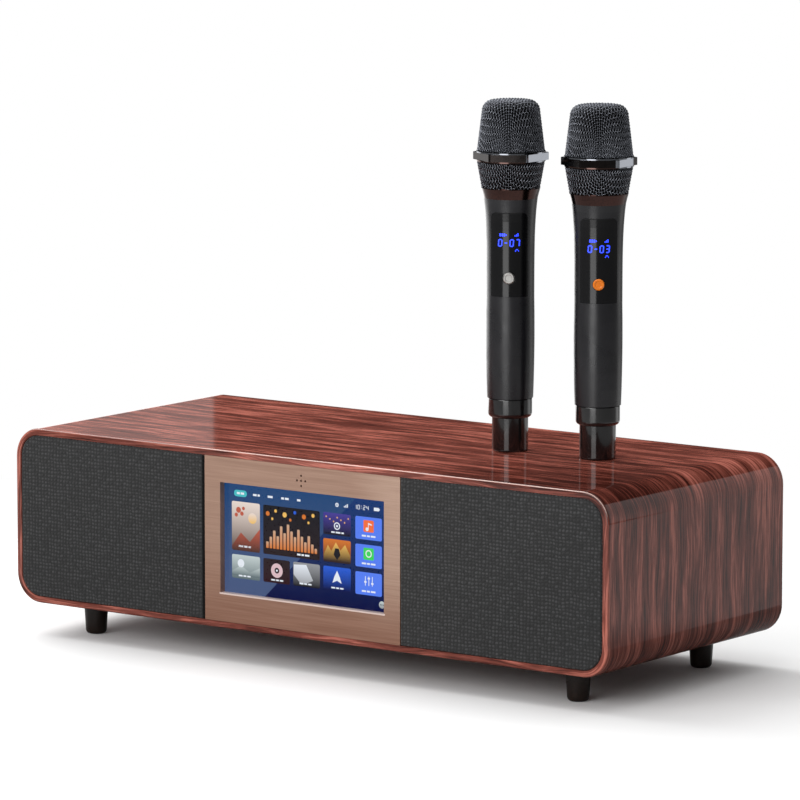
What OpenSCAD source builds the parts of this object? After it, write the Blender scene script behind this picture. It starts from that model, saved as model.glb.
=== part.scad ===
// Karaoke speaker: a wooden cabinet with two cloth grilles, a touch screen between them,
// and two wireless hand microphones that stand on its top.
// X runs to the right, Y to the back, Z up, and the feet stand on Z = 0.

/* [Cabinet] */
// Width of the wooden cabinet
cab_w = 520; // [500:1:600]
// Height of the wooden cabinet without its feet
cab_h = 127.5; // [124:0.5:140]
// Depth of the wooden cabinet, front to back
cab_d = 218; // [210:1:260]
// Radius of the four long corners
cab_r = 21; // [18:0.5:26]
// Thickness of the cabinet wall
wall_t = 9; // [8:0.5:10]
// Width of the wooden lip that shows round the front
lip_t = 4.7; // [4:0.1:6]
// Rounding of the front edge
front_round = 1.6; // [1:0.1:2]
// Rounding of the back edge
back_round = 2; // [1:0.1:2]
// Depth of the front rebate that holds the grilles and the panel
rebate_d = 14; // [13:0.5:18]
// Thickness of the front baffle
baffle_t = 10; // [8:0.5:12]
// How far the rear panel lies inside the back edge
rear_recess = 5; // [4:0.5:8]
// Thickness of the rear panel
rear_t = 10; // [8:0.5:12]

/* [Front panel and screen] */
// Width of the metal front panel
panel_w = 171.6; // [168:0.2:176]
// Thickness of the panel, which is the depth of the screen recess
panel_t = 5; // [4.5:0.1:6]
// Width of the screen opening
screen_w = 144; // [130:0.5:144]
// Height of the screen opening
screen_h = 79; // [70:0.5:79]
// Height of the opening's lower edge above the cabinet's underside
screen_z = 25.5; // [24:0.5:28]
// Distance between the small microphone holes above the screen
pinhole_pitch = 3.6; // [3:0.1:4]
// Diameter of the small microphone holes
pinhole_d = 1.6; // [1:0.1:2]

/* [Grilles and loudspeakers] */
// Thickness of the stretched grille cloth
cloth_t = 0.8; // [0.6:0.1:1]
// Width of the grille frame's rim
rim_t = 4; // [3:0.5:5]
// Distance of each woofer from the middle of the cabinet
woofer_x = 196; // [192:1:198]
// Outer radius of the woofer's mounting flange
woofer_r = 48; // [44:0.5:48]
// Travel of the woofer cone each way
cone_travel = 2; // [1:0.5:2]
// Distance of each tweeter from the middle of the cabinet
tweeter_x = 118; // [114:1:122]
// Radius of the tweeter's face plate
tweeter_r = 22; // [19:0.5:24]
// Distance of each bass port from the middle of the cabinet
port_x = 170; // [150:1:190]
// Radius of the bore of each bass port
port_r = 16; // [13:0.5:18]

/* [Feet] */
// Height of the turned feet
foot_h = 24; // [18:0.5:30]
// Distance of the feet from the middle, along X
foot_x = 213; // [190:1:220]
// Distance of the feet from the middle, along Y
foot_y = 76; // [60:1:85]
// Radius at the top of a foot
foot_top_r = 9; // [8:0.5:12]
// Radius at the bottom of a foot
foot_low_r = 7.5; // [6:0.5:9]

/* [Microphones] */
// Place of the left microphone, to the right of the cabinet's middle
left_mic_x = 93.3; // [60:0.1:100]
// Place of the left microphone, behind the cabinet's middle
left_mic_y = 11.3; // [-40:0.1:40]
// Place of the right microphone, to the right of the cabinet's middle
right_mic_x = 163.6; // [160:0.1:220]
// Place of the right microphone, behind the cabinet's middle
right_mic_y = 17.8; // [-40:0.1:40]
// Direction in which the left microphone's display faces, turned from the front to the right
left_mic_turn = 31; // [-60:1:60]
// Direction in which the right microphone's display faces
right_mic_turn = 35; // [-60:1:60]
// Radius of the tail cap
tail_r = 12.75; // [12:0.25:13]
// Radius of the battery sleeve at its foot
sleeve_low_r = 16.2; // [16:0.1:16.4]
// Radius of the handle where the sleeve screws on
grip_r = 16.75; // [16.6:0.05:17]
// Radius of the handle under the collar
flare_r = 18.9; // [18.5:0.1:19.5]
// Radius of the collar under the head
collar_r = 20.7; // [20.3:0.1:21]
// Radius of the head at its ring
head_r = 23.95; // [23.5:0.05:24.5]
// Radius of the six corners of the head's ring
ring_corner_r = 27; // [26.9:0.1:28]
// Width of the glossy window strip
window_w = 25.4; // [22:0.2:26]
// Diameter of the round button
button_d = 8; // [6:0.5:8]
// Width of a wire in the heads' net
strand_w = 1; // [0.8:0.1:1.2]
// Meshes round a head
mesh_columns = 18; // [16:1:18]

/* [Hidden] */
$fn = 48;
eps = 1;
gap = 0.2;

// Planes of the cabinet
front_y = -cab_d / 2;
back_y = cab_d / 2;
low_z = foot_h;
top_z = foot_h + cab_h;
mid_z = foot_h + cab_h / 2;
baffle_y = front_y + rebate_d;
inner_w = cab_w - 2 * wall_t;
inner_h = cab_h - 2 * wall_t;
inner_r = cab_r - wall_t;
rear_out_y = back_y - rear_recess;
rear_in_y = rear_out_y - rear_t;

// Outlines of what sits in the front rebate
face_h = cab_h - 2 * lip_t - 2 * gap;
panel_x = panel_w / 2;
left_grille = [panel_x + 1.3, cab_w / 2 - lip_t - gap];
right_grille = [panel_x + gap, cab_w / 2 - lip_t - 0.9];
grille_r = cab_r - lip_t - gap;
rib_t = 3;
rib_d = 4;
rib_columns = 4;
rib_rows = 3;
peg_r = 2;
peg_l = 8;
peg_pad_r = 4;

// Screen stack behind the panel
screen_mid_z = low_z + screen_z + screen_h / 2;
glass_t = 1.1;
glass_w = screen_w + 6;
glass_h = screen_h + 6;
module_t = 3.5;
bracket_t = 1.6;
glass_y = front_y + panel_t;
module_y = glass_y + glass_t;
bracket_y = module_y + module_t;
pinhole_z = low_z + 112.1;

// Woofer, measured behind the baffle's front face
flange_t = 2;
basket_depth = 34;
basket_seat_r = 24;
pole_r = 12.2;
former_r = 13;
plate_bore_r = 13.5;
magnet_r = 30;
cone_r = 35.2;
cone_hole_r = woofer_r - 5;
roll_r = 1.8 * cone_travel;
roll_mid_r = 39.6;
roll_land = 5.4;
screw_hole_r = 1.2;

// Open windows in the baffle and in the tray behind the screen
lead_window = [38, 48];
lead_window_x = 46;
tray_window = [40, 32];
tray_window_x = 48;
tray_window_z = 20;

// Rear fittings
io_w = 172;
io_h = 62;
io_t = 2;
io_y = rear_out_y + io_t;
io_screw_inset = 6;
io_screw_hole_r = 1.6;
bezel_t = 1.5;
socket_y = io_y + bezel_t;
inlet_x = 58;
inlet_depth = 14;
inlet_back_y = io_y - 20;
inlet_lobe_x = 3.6;
inlet_lobe_r = 4.1;
inlet_pin_x = 4.3;
inlet_pin_r = 1.2;
switch_x = 22;
switch_back_y = io_y - 16;
rocker_y = io_y - 4.6;
rocker_half_w = 6;
rocker_half_turn = 11;
rocker_pin_r = 1;
rocker_pin_l = 1.7;
usb_x = -24;
usb_back_y = io_y - 15;
jack_x = -56;
jack_r = 1.8;
jack_l = 12;
jack_barrel_r = 3.4;

// Circuit boards on standoffs above the cabinet's floor
floor_z = low_z + wall_t;
board_t = 1.6;
board_z = floor_z + 6;
board_top = board_z + board_t - 0.1;
standoff_r = 3;
standoff_inset = 5;

// Heights along a microphone, above the surface it stands on, and its inner sizes
antenna_r = 10.4;
tail_ring_r = 15.45;
ring_z0 = 24;
sleeve_z0 = 38;
grip_z0 = 109;
collar_z0 = 179;
head_z0 = 186;
head_ring_z0 = 205;
head_ring_z1 = 212;
head_top_z = 248;
head_top_r = 20.6;
head_round = 8;
mesh_t = 1.2;
skin_t = 1.25;

// Wire net of the heads: its solid rims, rows of openings and the lengths along its two walls
rim_h = 1.2;
lower_rows = 4;
upper_rows = 11;
cap_r = 5;
cap_hole_r = 1.6;
net_inset = strand_w * sqrt(0.5);
lower_l = norm([head_r - collar_r, head_ring_z0 - head_z0]);
side_l = norm([head_r - head_top_r, head_top_z - head_round - head_ring_z1]);
bend_l = head_round * PI / 2;
upper_l = side_l + bend_l + head_top_r - head_round;

window_z0 = 110.7;
window_z1 = 170;
button_z = 124;
display_z = 149;
spigot_l = 11;
spigot_bore_r = 13.4;
spigot_r = 14.9;
sleeve_bore_r = 14.7;
socket_r = 15.3;
head_spigot_r = 18.8;
collar_floor = 2.5;
cradle_z = sleeve_z0 + 3.4;
cradle_t = 2;
cradle_r = spigot_bore_r - 0.3;
spine_x = 7;
spine_y = [9.6, 11.2];
battery_r = 9.2;
battery_l = 65;

// Shared outlines and placings

module rounded(w, h, r) {
    square([w - 2 * r, h], center = true);
    square([w, h - 2 * r], center = true);
    for (x = [-1, 1], y = [-1, 1])
        translate([x * (w / 2 - r), y * (h / 2 - r)]) circle(r);
}

// An outline drawn in X and Z, run from y0 back to y1
module standing(y0, y1) {
    translate([0, y1, 0]) rotate([90, 0, 0]) linear_extrude(y1 - y0) children();
}

// A round part whose axis runs along Y, drawn from the given point backwards
module facing(x, y, z) {
    translate([x, y, z]) rotate([-90, 0, 0]) children();
}

module block(x, y, z) {
    translate([x[0], y[0], z[0]]) cube([x[1] - x[0], y[1] - y[0], z[1] - z[0]]);
}

// The part of a corner that its rounding takes away
module corner_cut(r) {
    difference() {
        square(r + eps);
        circle(r);
    }
}

// Cabinet

// Section through the wall: outward is +X, measured from the corner's centre, and depth is +Y
module wall_section() {
    difference() {
        translate([inner_r, 0]) square([wall_t, cab_d]);
        translate([inner_r - eps, -eps]) square([wall_t - lip_t + eps, rebate_d + eps]);
        translate([inner_r - eps, cab_d - rear_recess - rear_t])
            square([wall_t - lip_t + eps, rear_recess + rear_t + eps]);
        translate([cab_r - front_round, front_round]) rotate(-90) corner_cut(front_round);
        translate([cab_r - back_round, cab_d - back_round]) corner_cut(back_round);
    }
}

module wall_run(length) {
    linear_extrude(length, center = true) wall_section();
}

module cabinet_shell() {
    half_w = cab_w / 2 - cab_r;
    half_h = cab_h / 2 - cab_r;
    color("saddlebrown") translate([0, front_y, mid_z]) {
        for (side = [0, 1]) mirror([side, 0, 0]) {
            translate([half_w, 0, 0]) wall_run(2 * half_h);
            for (under = [0, 1]) mirror([0, 0, under])
                translate([half_w, 0, half_h]) rotate([-90, 0, 0]) rotate([0, 0, -90])
                    rotate_extrude(angle = 90) wall_section();
        }
        for (under = [0, 1]) mirror([0, 0, under])
            translate([0, 0, half_h]) rotate([0, -90, 0]) wall_run(2 * half_w);
    }
}

module front_baffle() {
    color("peru") standing(baffle_y, baffle_y + baffle_t) translate([0, mid_z]) difference() {
        rounded(inner_w, inner_h, inner_r + 0.5);
        for (side = [-1, 1]) {
            translate([side * woofer_x, 0]) circle(cone_hole_r);
            translate([side * tweeter_x, 0]) circle(tweeter_r - 5);
        }
        for (spot = peg_spots(left_grille)) translate([-spot[0], spot[1]]) circle(peg_r + 0.05);
        for (spot = peg_spots(right_grille)) translate([spot[0], spot[1]]) circle(peg_r + 0.05);
        for (x = [-1, 0, 1]) translate([x * lead_window_x, 0])
            rounded(lead_window[0], lead_window[1], 4);
    }
}

// Boards that close off the two loudspeaker chambers, each with a notch for the leads
module speaker_partitions() {
    thickness = 6;
    notch_r = 5;
    color("peru") for (side = [0, 1]) mirror([side, 0, 0]) difference() {
        block([panel_x, panel_x + thickness], [baffle_y + baffle_t, rear_in_y],
            [floor_z, top_z - wall_t]);
        translate([panel_x - eps, 0, floor_z + 2.4 * notch_r]) rotate([0, 90, 0])
            cylinder(h = thickness + 2 * eps, r = notch_r);
    }
}

module rear_panel() {
    color("dimgray") standing(rear_in_y, rear_out_y) translate([0, mid_z]) difference() {
        rounded(cab_w - 2 * lip_t - 2 * gap, face_h, grille_r);
        rounded(io_w - 22, io_h - 18, 3);
        for (side = [-1, 1]) translate([side * port_x, 0]) circle(port_r + 2.6);
    }
}

module io_plate() {
    color("black") standing(rear_out_y, io_y) translate([0, mid_z]) difference() {
        rounded(io_w, io_h, 4);
        translate([inlet_x, 0]) rounded(27, 19, 2);
        translate([switch_x, 0]) rounded(16.4, 22.8, 1);
        translate([usb_x, 0]) square([13.6, 6.2], center = true);
        translate([jack_x, 0]) circle(jack_barrel_r + 0.1);
        for (x = [-1, 1], z = [-1, 1])
            translate([x * (io_w / 2 - io_screw_inset), z * (io_h / 2 - io_screw_inset)])
                circle(io_screw_hole_r);
    }
}

// Feet, turned, with a rounded lower edge

module foot_profile() {
    round_r = 2.5;
    difference() {
        polygon([[0, 0], [foot_low_r, 0], [foot_top_r, foot_h], [0, foot_h]]);
        translate([foot_low_r - round_r, round_r]) rotate(-90) corner_cut(round_r);
    }
}

module feet() {
    color([0.12, 0.08, 0.07]) for (x = [-1, 1], y = [-1, 1])
        translate([x * foot_x, y * foot_y, 0]) rotate_extrude() foot_profile();
}

// Grilles

// Outline of one grille, drawn for the right side about the cabinet's middle height
module grille_outline(span, inset) {
    x0 = span[0] + inset;
    x1 = span[1] - inset;
    h = face_h - 2 * inset;
    r = grille_r - inset;
    translate([x0, -h / 2]) square([x1 - x0 - r, h]);
    translate([x0, -h / 2 + r]) square([x1 - x0, h - 2 * r]);
    for (z = [-1, 1]) translate([x1 - r, z * (h / 2 - r)]) circle(r);
}

// Pegs that push into the baffle, near the corners of a frame
function peg_spots(span) = [
    for (z = [-1, 1]) [span[0] + cloth_t + rim_t + 0.6, z * (face_h / 2 - 12.8)],
    for (z = [-1, 1]) [span[1] - cloth_t - rim_t - 4, z * (face_h / 2 - 12.8)]
];

module grille_frame(span) {
    back = baffle_y;
    front = front_y + cloth_t;
    inner_x0 = span[0] + cloth_t + rim_t;
    inner_x1 = span[1] - cloth_t - rim_t;
    inner_z = face_h / 2 - cloth_t - rim_t;
    cell_w = (inner_x1 - inner_x0) / rib_columns;
    cell_h = 2 * inner_z / rib_rows;
    color([0.1, 0.1, 0.1]) {
        standing(front, back) translate([0, mid_z]) difference() {
            grille_outline(span, cloth_t);
            difference() {
                grille_outline(span, cloth_t + rim_t);
                for (spot = peg_spots(span)) translate(spot) circle(peg_pad_r);
            }
        }
        standing(front, front + rib_d) translate([0, mid_z]) {
            for (i = [1 : rib_columns - 1])
                translate([inner_x0 + i * cell_w, 0])
                    square([rib_t, 2 * inner_z + 2], center = true);
            for (i = [1 : rib_rows - 1])
                translate([inner_x0 - 1, -inner_z + i * cell_h - rib_t / 2])
                    square([inner_x1 - inner_x0 + 2, rib_t]);
        }
        for (spot = peg_spots(span))
            facing(spot[0], back - eps, mid_z + spot[1]) cylinder(h = peg_l + eps, r = peg_r);
    }
}

// Cloth drawn over the frame's face and down its sides
module grille_cloth(span) {
    color([0.22, 0.22, 0.24]) difference() {
        standing(front_y, baffle_y - 0.4) translate([0, mid_z]) grille_outline(span, 0);
        standing(front_y + cloth_t, baffle_y) translate([0, mid_z]) grille_outline(span, cloth_t);
    }
}

// Metal front panel with the screen behind it

module front_panel() {
    color([0.62, 0.48, 0.4]) {
        standing(front_y, glass_y) difference() {
            translate([0, mid_z]) square([panel_w, face_h], center = true);
            translate([0, screen_mid_z]) square([screen_w, screen_h], center = true);
            for (spot = [[0, 0], [1, 0], [-1, 0], [0, 1], [0, -1]])
                translate([spot[0] * pinhole_pitch, pinhole_z + spot[1] * pinhole_pitch])
                    circle(pinhole_d / 2);
        }
        standing(glass_y - eps, baffle_y) translate([0, mid_z]) difference() {
            square([panel_w, face_h], center = true);
            square([panel_w - 6, face_h - 6], center = true);
        }
    }
}

module screen_glass() {
    color([0.05, 0.1, 0.3]) standing(glass_y, module_y) translate([0, screen_mid_z])
        rounded(glass_w, glass_h, 2);
}

module screen_module() {
    color("silver") {
        standing(module_y, bracket_y - 0.6) translate([0, screen_mid_z])
            square([glass_w - 3, glass_h - 3], center = true);
        standing(bracket_y - 0.7, bracket_y) translate([0, screen_mid_z])
            rounded(glass_w - 14, glass_h - 20, 2);
    }
}

// Tray that clamps the glass against the panel and stands on the baffle
module screen_bracket() {
    fit = 0.3;
    rim = 3;
    color([0.15, 0.15, 0.15]) difference() {
        standing(glass_y, baffle_y) translate([0, screen_mid_z])
            rounded(glass_w + 2 * fit + 2 * rim, glass_h + 2 * fit + 2 * rim, 3);
        standing(glass_y - eps, bracket_y) translate([0, screen_mid_z])
            square([glass_w + 2 * fit, glass_h + 2 * fit], center = true);
        standing(bracket_y + bracket_t, baffle_y + eps) translate([0, screen_mid_z])
            square([glass_w - 4, glass_h - 4], center = true);
        for (x = [-1, 0, 1], z = [-1, 1])
            standing(bracket_y - eps, baffle_y + eps)
                translate([x * tray_window_x, screen_mid_z + z * tray_window_z])
                    rounded(tray_window[0], tray_window[1], 3);
    }
}

// Loudspeakers, revolved about their own axes; depth is measured behind the baffle's face

module at_woofer(side) {
    facing(side * woofer_x, baffle_y, mid_z) children();
}

// Pressed steel basket with eight windows between its arms
module woofer_basket(side) {
    color("gray") at_woofer(side) difference() {
        rotate_extrude() polygon([
            [woofer_r - 6.6, -flange_t], [woofer_r, -flange_t], [woofer_r, 0],
            [woofer_r - 5.4, 0], [woofer_r - 8, 9], [basket_seat_r + 4, basket_depth - 6],
            [basket_seat_r + 3, basket_depth + 1.6], [plate_bore_r + 0.3, basket_depth + 1.6],
            [plate_bore_r + 0.3, basket_depth], [basket_seat_r + 1.4, basket_depth],
            [basket_seat_r + 2.4, basket_depth - 6.6], [woofer_r - 9.6, 8.4]
        ]);
        for (i = [0 : 7]) rotate([0, 0, i * 45]) translate([basket_seat_r + 8, 0, 12])
            rotate([0, 90, 0]) translate([-8, 0, -8]) linear_extrude(24) rounded(13, 16, 3);
        for (i = [0 : 3]) rotate([0, 0, 45 + i * 90])
            translate([woofer_r - 1.8, 0, -flange_t - eps])
                cylinder(h = flange_t + 2 * eps, r = screw_hole_r);
    }
}

// Top plate, ferrite ring and yoke with its pole
module woofer_magnet(side) {
    z0 = basket_depth + 1.6;
    color([0.2, 0.2, 0.2]) at_woofer(side) rotate_extrude() polygon([
        [plate_bore_r, z0], [magnet_r - 3, z0], [magnet_r - 3, z0 + 4], [magnet_r, z0 + 4],
        [magnet_r, z0 + 15], [magnet_r - 2, z0 + 15], [magnet_r - 3, z0 + 19], [0, z0 + 19],
        [0, z0 - 1], [pole_r, z0 - 1], [pole_r, z0 + 15], [plate_bore_r + 3, z0 + 15],
        [plate_bore_r + 3, z0 + 4], [plate_bore_r, z0 + 4]
    ]);
}

// Paper cone with its voice coil former and domed dust cap
module woofer_cone(side) {
    paper = 0.8;
    throat_z = basket_depth - 12;
    cap_r = 15;
    color([0.13, 0.13, 0.14]) at_woofer(side) {
        rotate_extrude() polygon([
            [former_r - 0.4, throat_z], [former_r - 0.4, basket_depth + 8],
            [former_r, basket_depth + 8], [former_r, throat_z + 1.4],
            [cone_r - 3, -0.4], [cone_r, -1.2], [cone_r, -flange_t], [cone_r - 3.2, -1.4]
        ]);
        rotate_extrude() translate([0, throat_z + 13.2]) intersection() {
            difference() {
                circle(22);
                circle(22 - paper);
            }
            translate([0, -30]) square([cap_r, 20]);
        }
    }
}

// Half-roll rubber surround between the cone's edge and the flange
module woofer_surround(side) {
    rubber = 0.6;
    color([0.08, 0.08, 0.08]) at_woofer(side) rotate_extrude() translate([roll_mid_r, -flange_t]) {
        intersection() {
            difference() {
                circle(roll_r);
                circle(roll_r - rubber);
            }
            translate([-5, -5]) square([10, 5]);
        }
        translate([roll_r - rubber, -rubber]) square([roll_land + rubber - roll_r, rubber]);
        translate([-roll_land - 0.2, -rubber]) square([roll_land + 0.2 + rubber - roll_r, rubber]);
    }
}

module tweeter(side) {
    color([0.2, 0.2, 0.22]) facing(side * tweeter_x, baffle_y, mid_z) {
        rotate_extrude() polygon([
            [0, 0.5], [tweeter_r - 5.4, 0.5], [tweeter_r - 5.4, 0], [tweeter_r, 0],
            [tweeter_r, -1.6], [tweeter_r - 1.4, -3], [tweeter_r - 4, -3],
            [12.4, -0.8], [0, -0.8]
        ]);
        rotate_extrude() intersection() {
            translate([0, 8.6]) circle(15);
            translate([0, -8]) square([12, 8.8]);
        }
        cylinder(h = 9, r = tweeter_r - 7);
        translate([0, 0, 8]) cylinder(h = 8, r = tweeter_r - 6);
    }
}

// Flared bass port, open from the rear panel into the loudspeaker chamber
module bass_port(side) {
    length = 56;
    color([0.1, 0.1, 0.1]) facing(side * port_x, rear_out_y, mid_z) difference() {
        union() {
            cylinder(h = bezel_t, r = port_r + 8);
            translate([0, 0, -length]) cylinder(h = length + eps, r = port_r + 2.4);
        }
        translate([0, 0, -length - eps]) cylinder(h = length + 2 * eps + bezel_t, r = port_r);
        translate([0, 0, bezel_t - 4]) cylinder(h = 4.01, r1 = port_r, r2 = port_r + 3.5);
    }
}

// Rear connectors

// Two-pin mains inlet with a figure-of-eight mouth
module power_inlet() {
    color([0.08, 0.08, 0.08]) translate([inlet_x, 0, 0]) {
        difference() {
            union() {
                standing(io_y, socket_y) translate([0, mid_z]) rounded(33, 24, 3);
                standing(inlet_back_y, io_y + 0.1) translate([0, mid_z]) rounded(26.6, 18.6, 2);
            }
            standing(socket_y - inlet_depth, socket_y + eps) translate([0, mid_z]) {
                square([2 * inlet_lobe_x, 6], center = true);
                for (x = [-1, 1]) translate([x * inlet_lobe_x, 0]) circle(inlet_lobe_r);
            }
        }
        for (x = [-1, 1]) facing(x * inlet_pin_x, socket_y - inlet_depth - 1, mid_z)
            cylinder(h = inlet_depth - 2, r = inlet_pin_r);
    }
}

module switch_housing() {
    color([0.1, 0.1, 0.1]) translate([switch_x, 0, 0]) difference() {
        union() {
            standing(io_y, socket_y) translate([0, mid_z]) rounded(20, 27, 2);
            standing(switch_back_y, io_y + 0.1) translate([0, mid_z]) rounded(16, 22.4, 1);
        }
        standing(switch_back_y + 3, socket_y + eps) translate([0, mid_z])
            square([2 * rocker_half_w + 0.7, 19.6], center = true);
        translate([-9, rocker_y, mid_z]) rotate([0, 90, 0])
            cylinder(h = 18, r = rocker_pin_r + 0.05);
    }
}

// Rocker with a shallow V face, lying over on its ON side
module power_rocker() {
    half_w = rocker_half_w;
    color([0.05, 0.05, 0.05]) translate([switch_x, rocker_y, mid_z]) rotate([-rocker_half_turn, 0, 0]) {
        translate([-half_w, 0, 0]) rotate([90, 0, 90]) linear_extrude(2 * half_w) polygon([
            [0, -8.4], [5.5, -8.4], [3.6, 0], [5.5, 8.4], [0, 8.4], [-4.5, 4], [-4.5, -4]
        ]);
        translate([-half_w - rocker_pin_l, 0, 0]) rotate([0, 90, 0])
            cylinder(h = 2 * (half_w + rocker_pin_l), r = rocker_pin_r);
    }
}

module usb_socket() {
    color("silver") translate([usb_x, 0, mid_z]) {
        difference() {
            block([-6.6, 6.6], [usb_back_y, io_y + 0.5], [-2.9, 2.9]);
            block([-6.2, 6.2], [usb_back_y + 3, socket_y], [-2.5, 2.5]);
        }
        block([-5.5, 5.5], [usb_back_y + 2.5, io_y - 1], [0.3, 2.1]);
    }
}

module aux_jack() {
    color([0.15, 0.15, 0.15]) difference() {
        union() {
            facing(jack_x, rear_in_y - 1, mid_z)
                cylinder(h = socket_y - rear_in_y + 1, r = jack_barrel_r);
            block([jack_x - 6, jack_x + 6], [rear_in_y - 6, rear_out_y - 1],
                [mid_z - 5, mid_z + 5]);
        }
        facing(jack_x, socket_y - jack_l, mid_z) cylinder(h = jack_l + eps, r = jack_r);
    }
}

// Electronics in the middle bay

module board(x, y) {
    inset = standoff_inset;
    block(x, y, [board_z, board_z + board_t]);
    for (px = [x[0] + inset, x[1] - inset], py = [y[0] + inset, y[1] - inset])
        translate([px, py, floor_z]) cylinder(h = board_z - floor_z + 0.1, r = standoff_r);
}

module main_board() {
    x = [-80, 20];
    y = [-80, 4];
    top = board_top;
    color("darkgreen") {
        board(x, y);
        block([-40, -16], [-50, -26], [top, top + 3]);
        for (i = [0 : 7]) block([-40 + 3.2 * i, -38.8 + 3.2 * i], [-50, -26], [top + 2.9, top + 9]);
        for (i = [0 : 3]) block([-74 + 9 * i, -68 + 9 * i], [-74, -60], [top, top + 5]);
        for (i = [0 : 2]) translate([0, -60 + 16 * i, top]) cylinder(h = 10, r = 4);
        block([-10, 14], [-14, -2], [top, top + 6]);
    }
}

module amplifier_board() {
    x = [-80, 0];
    y = [10, 82];
    top = board_top;
    color("darkgreen") {
        board(x, y);
        block([-66, -20], [34, 58], [top, top + 4]);
        for (i = [0 : 9]) block([-66 + 4.9 * i, -64.2 + 4.9 * i], [34, 58], [top + 3.9, top + 20]);
        for (i = [0 : 2]) translate([-8, 24 + 18 * i, top]) cylinder(h = 22, r = 6);
        block([-70, -30], [68, 76], [top, top + 9]);
    }
}

module power_supply() {
    x = [26, 82];
    y = [-78, 62];
    top = board_top;
    color("darkgreen") {
        board(x, y);
        block([36, 66], [-30, 0], [top, top + 24]);
        block([40, 62], [-36, 6], [top + 5, top + 19]);
        for (i = [0 : 1]) translate([44 + 22 * i, -56, top]) cylinder(h = 28, r = 9);
        block([32, 38], [14, 44], [top, top + 26]);
        for (i = [0 : 1]) translate([56 + 14 * i, 26, top]) cylinder(h = 18, r = 5.5);
    }
}

// Microphones, each drawn standing on Z = 0 with its display towards the front

// Radius of the battery sleeve: a slight swell between its foot and the handle
function sleeve_radius(z) =
    let (t = (z - sleeve_z0) / (grip_z0 - sleeve_z0))
    sleeve_low_r + (grip_r - sleeve_low_r) * t + 2 * t * (1 - t);

// Radius of the handle: straight at first, then flaring out to the collar
function handle_radius(z) =
    let (t = max(0, (z - grip_z0) / (collar_z0 - grip_z0)))
    grip_r + (flare_r - grip_r) * pow(t, 4.3);

sleeve_outline = [for (i = [0 : 6]) let (z = sleeve_z0 + i * (grip_z0 - sleeve_z0) / 6)
    [sleeve_radius(z), z]];
handle_steps = [0, 0.3, 0.45, 0.58, 0.69, 0.78, 0.86, 0.93, 1];
function handle_line(inset) = [for (t = handle_steps) let (z = grip_z0 + t * (collar_z0 - grip_z0))
    [handle_radius(z) - inset, z]];
function reversed(list) = [for (i = [len(list) - 1 : -1 : 0]) list[i]];

module left_mic() {
    translate([left_mic_x, left_mic_y, top_z]) rotate([0, 0, left_mic_turn]) children();
}

module right_mic() {
    translate([right_mic_x, right_mic_y, top_z]) rotate([0, 0, right_mic_turn]) children();
}

module mic_tail() {
    round_r = 1.6;
    color([0.04, 0.04, 0.04]) rotate_extrude() difference() {
        union() {
            square([tail_r, ring_z0]);
            square([antenna_r, sleeve_z0 - 1]);
        }
        translate([0, 3]) square([antenna_r - 1.8, sleeve_z0]);
        translate([tail_r - round_r, round_r]) rotate(-90) corner_cut(round_r);
    }
}

module mic_tail_ring() {
    low_round = 3;
    top_round = 1;
    bore = antenna_r + 0.1;
    color([0.06, 0.06, 0.06]) rotate_extrude() difference() {
        translate([bore, ring_z0]) square([tail_ring_r - bore, sleeve_z0 - ring_z0]);
        translate([tail_ring_r - low_round, ring_z0 + low_round]) rotate(-90)
            corner_cut(low_round);
        translate([tail_ring_r - top_round, sleeve_z0 - top_round]) corner_cut(top_round);
    }
}

// Battery sleeve, closed at its foot, with a socket for the handle's spigot at its top
module mic_sleeve() {
    bore = sleeve_bore_r;
    floor_top = sleeve_z0 + 2.5;
    color([0.16, 0.16, 0.17]) rotate_extrude() polygon(concat(
        sleeve_outline,
        [[socket_r, grip_z0], [socket_r, grip_z0 - spigot_l - 1], [bore, grip_z0 - spigot_l - 1.6],
            [bore, floor_top], [4, floor_top], [4, sleeve_z0]]
    ));
}

// Rounded strip in the handle's face that holds the window
module window_strip(spread) {
    corner = 4;
    w = window_w + 2 * spread;
    z0 = window_z0 - spread;
    z1 = window_z1 + spread;
    translate([0, -10, 0]) rotate([90, 0, 0]) linear_extrude(20) {
        translate([-w / 2, z0]) square([w, z1 - z0 - corner]);
        translate([-w / 2 + corner, z0]) square([w - 2 * corner, z1 - z0]);
        for (x = [-1, 1]) translate([x * (w / 2 - corner), z1 - corner]) circle(corner);
    }
}

// Everything outside the handle's surface less the given depth
module handle_skin(depth) {
    rotate_extrude() polygon(concat(
        handle_line(depth), [[30, collar_z0], [30, grip_z0]]
    ));
}

module mic_handle() {
    color([0.16, 0.16, 0.17]) difference() {
        rotate_extrude() polygon(concat(
            handle_line(0), reversed(handle_line(1.8)),
            [[spigot_r, grip_z0 + 3], [spigot_bore_r, grip_z0 + 3],
                [spigot_bore_r, grip_z0 - spigot_l], [spigot_r, grip_z0 - spigot_l],
                [spigot_r, grip_z0]]
        ));
        intersection() {
            window_strip(0.1);
            handle_skin(skin_t + 0.05);
        }
        translate([-8.5, -20, display_z - 6]) cube([17, 10, 12]);
        translate([0, 0, button_z]) rotate([90, 0, 0]) cylinder(h = 25, r = button_d / 2 + 0.35);
    }
}

module mic_window() {
    color([0.03, 0.03, 0.04]) difference() {
        intersection() {
            window_strip(0);
            rotate_extrude() polygon(concat(handle_line(0), reversed(handle_line(skin_t))));
        }
        translate([0, 0, button_z]) rotate([90, 0, 0]) cylinder(h = 25, r = button_d / 2 + 0.3);
    }
}

module mic_button(shade) {
    r = button_d / 2;
    face = grip_r + 0.7;
    color(shade) translate([0, 0, button_z]) rotate([90, 0, 0]) rotate_extrude() polygon([
        [0, 12.8], [r + 0.8, 12.8], [r + 0.8, 13.6], [r, 13.6], [r, face - 0.5],
        [r - 0.5, face], [r - 1.4, face], [r - 1.8, face - 0.3], [0, face - 0.3]
    ]);
}

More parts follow.
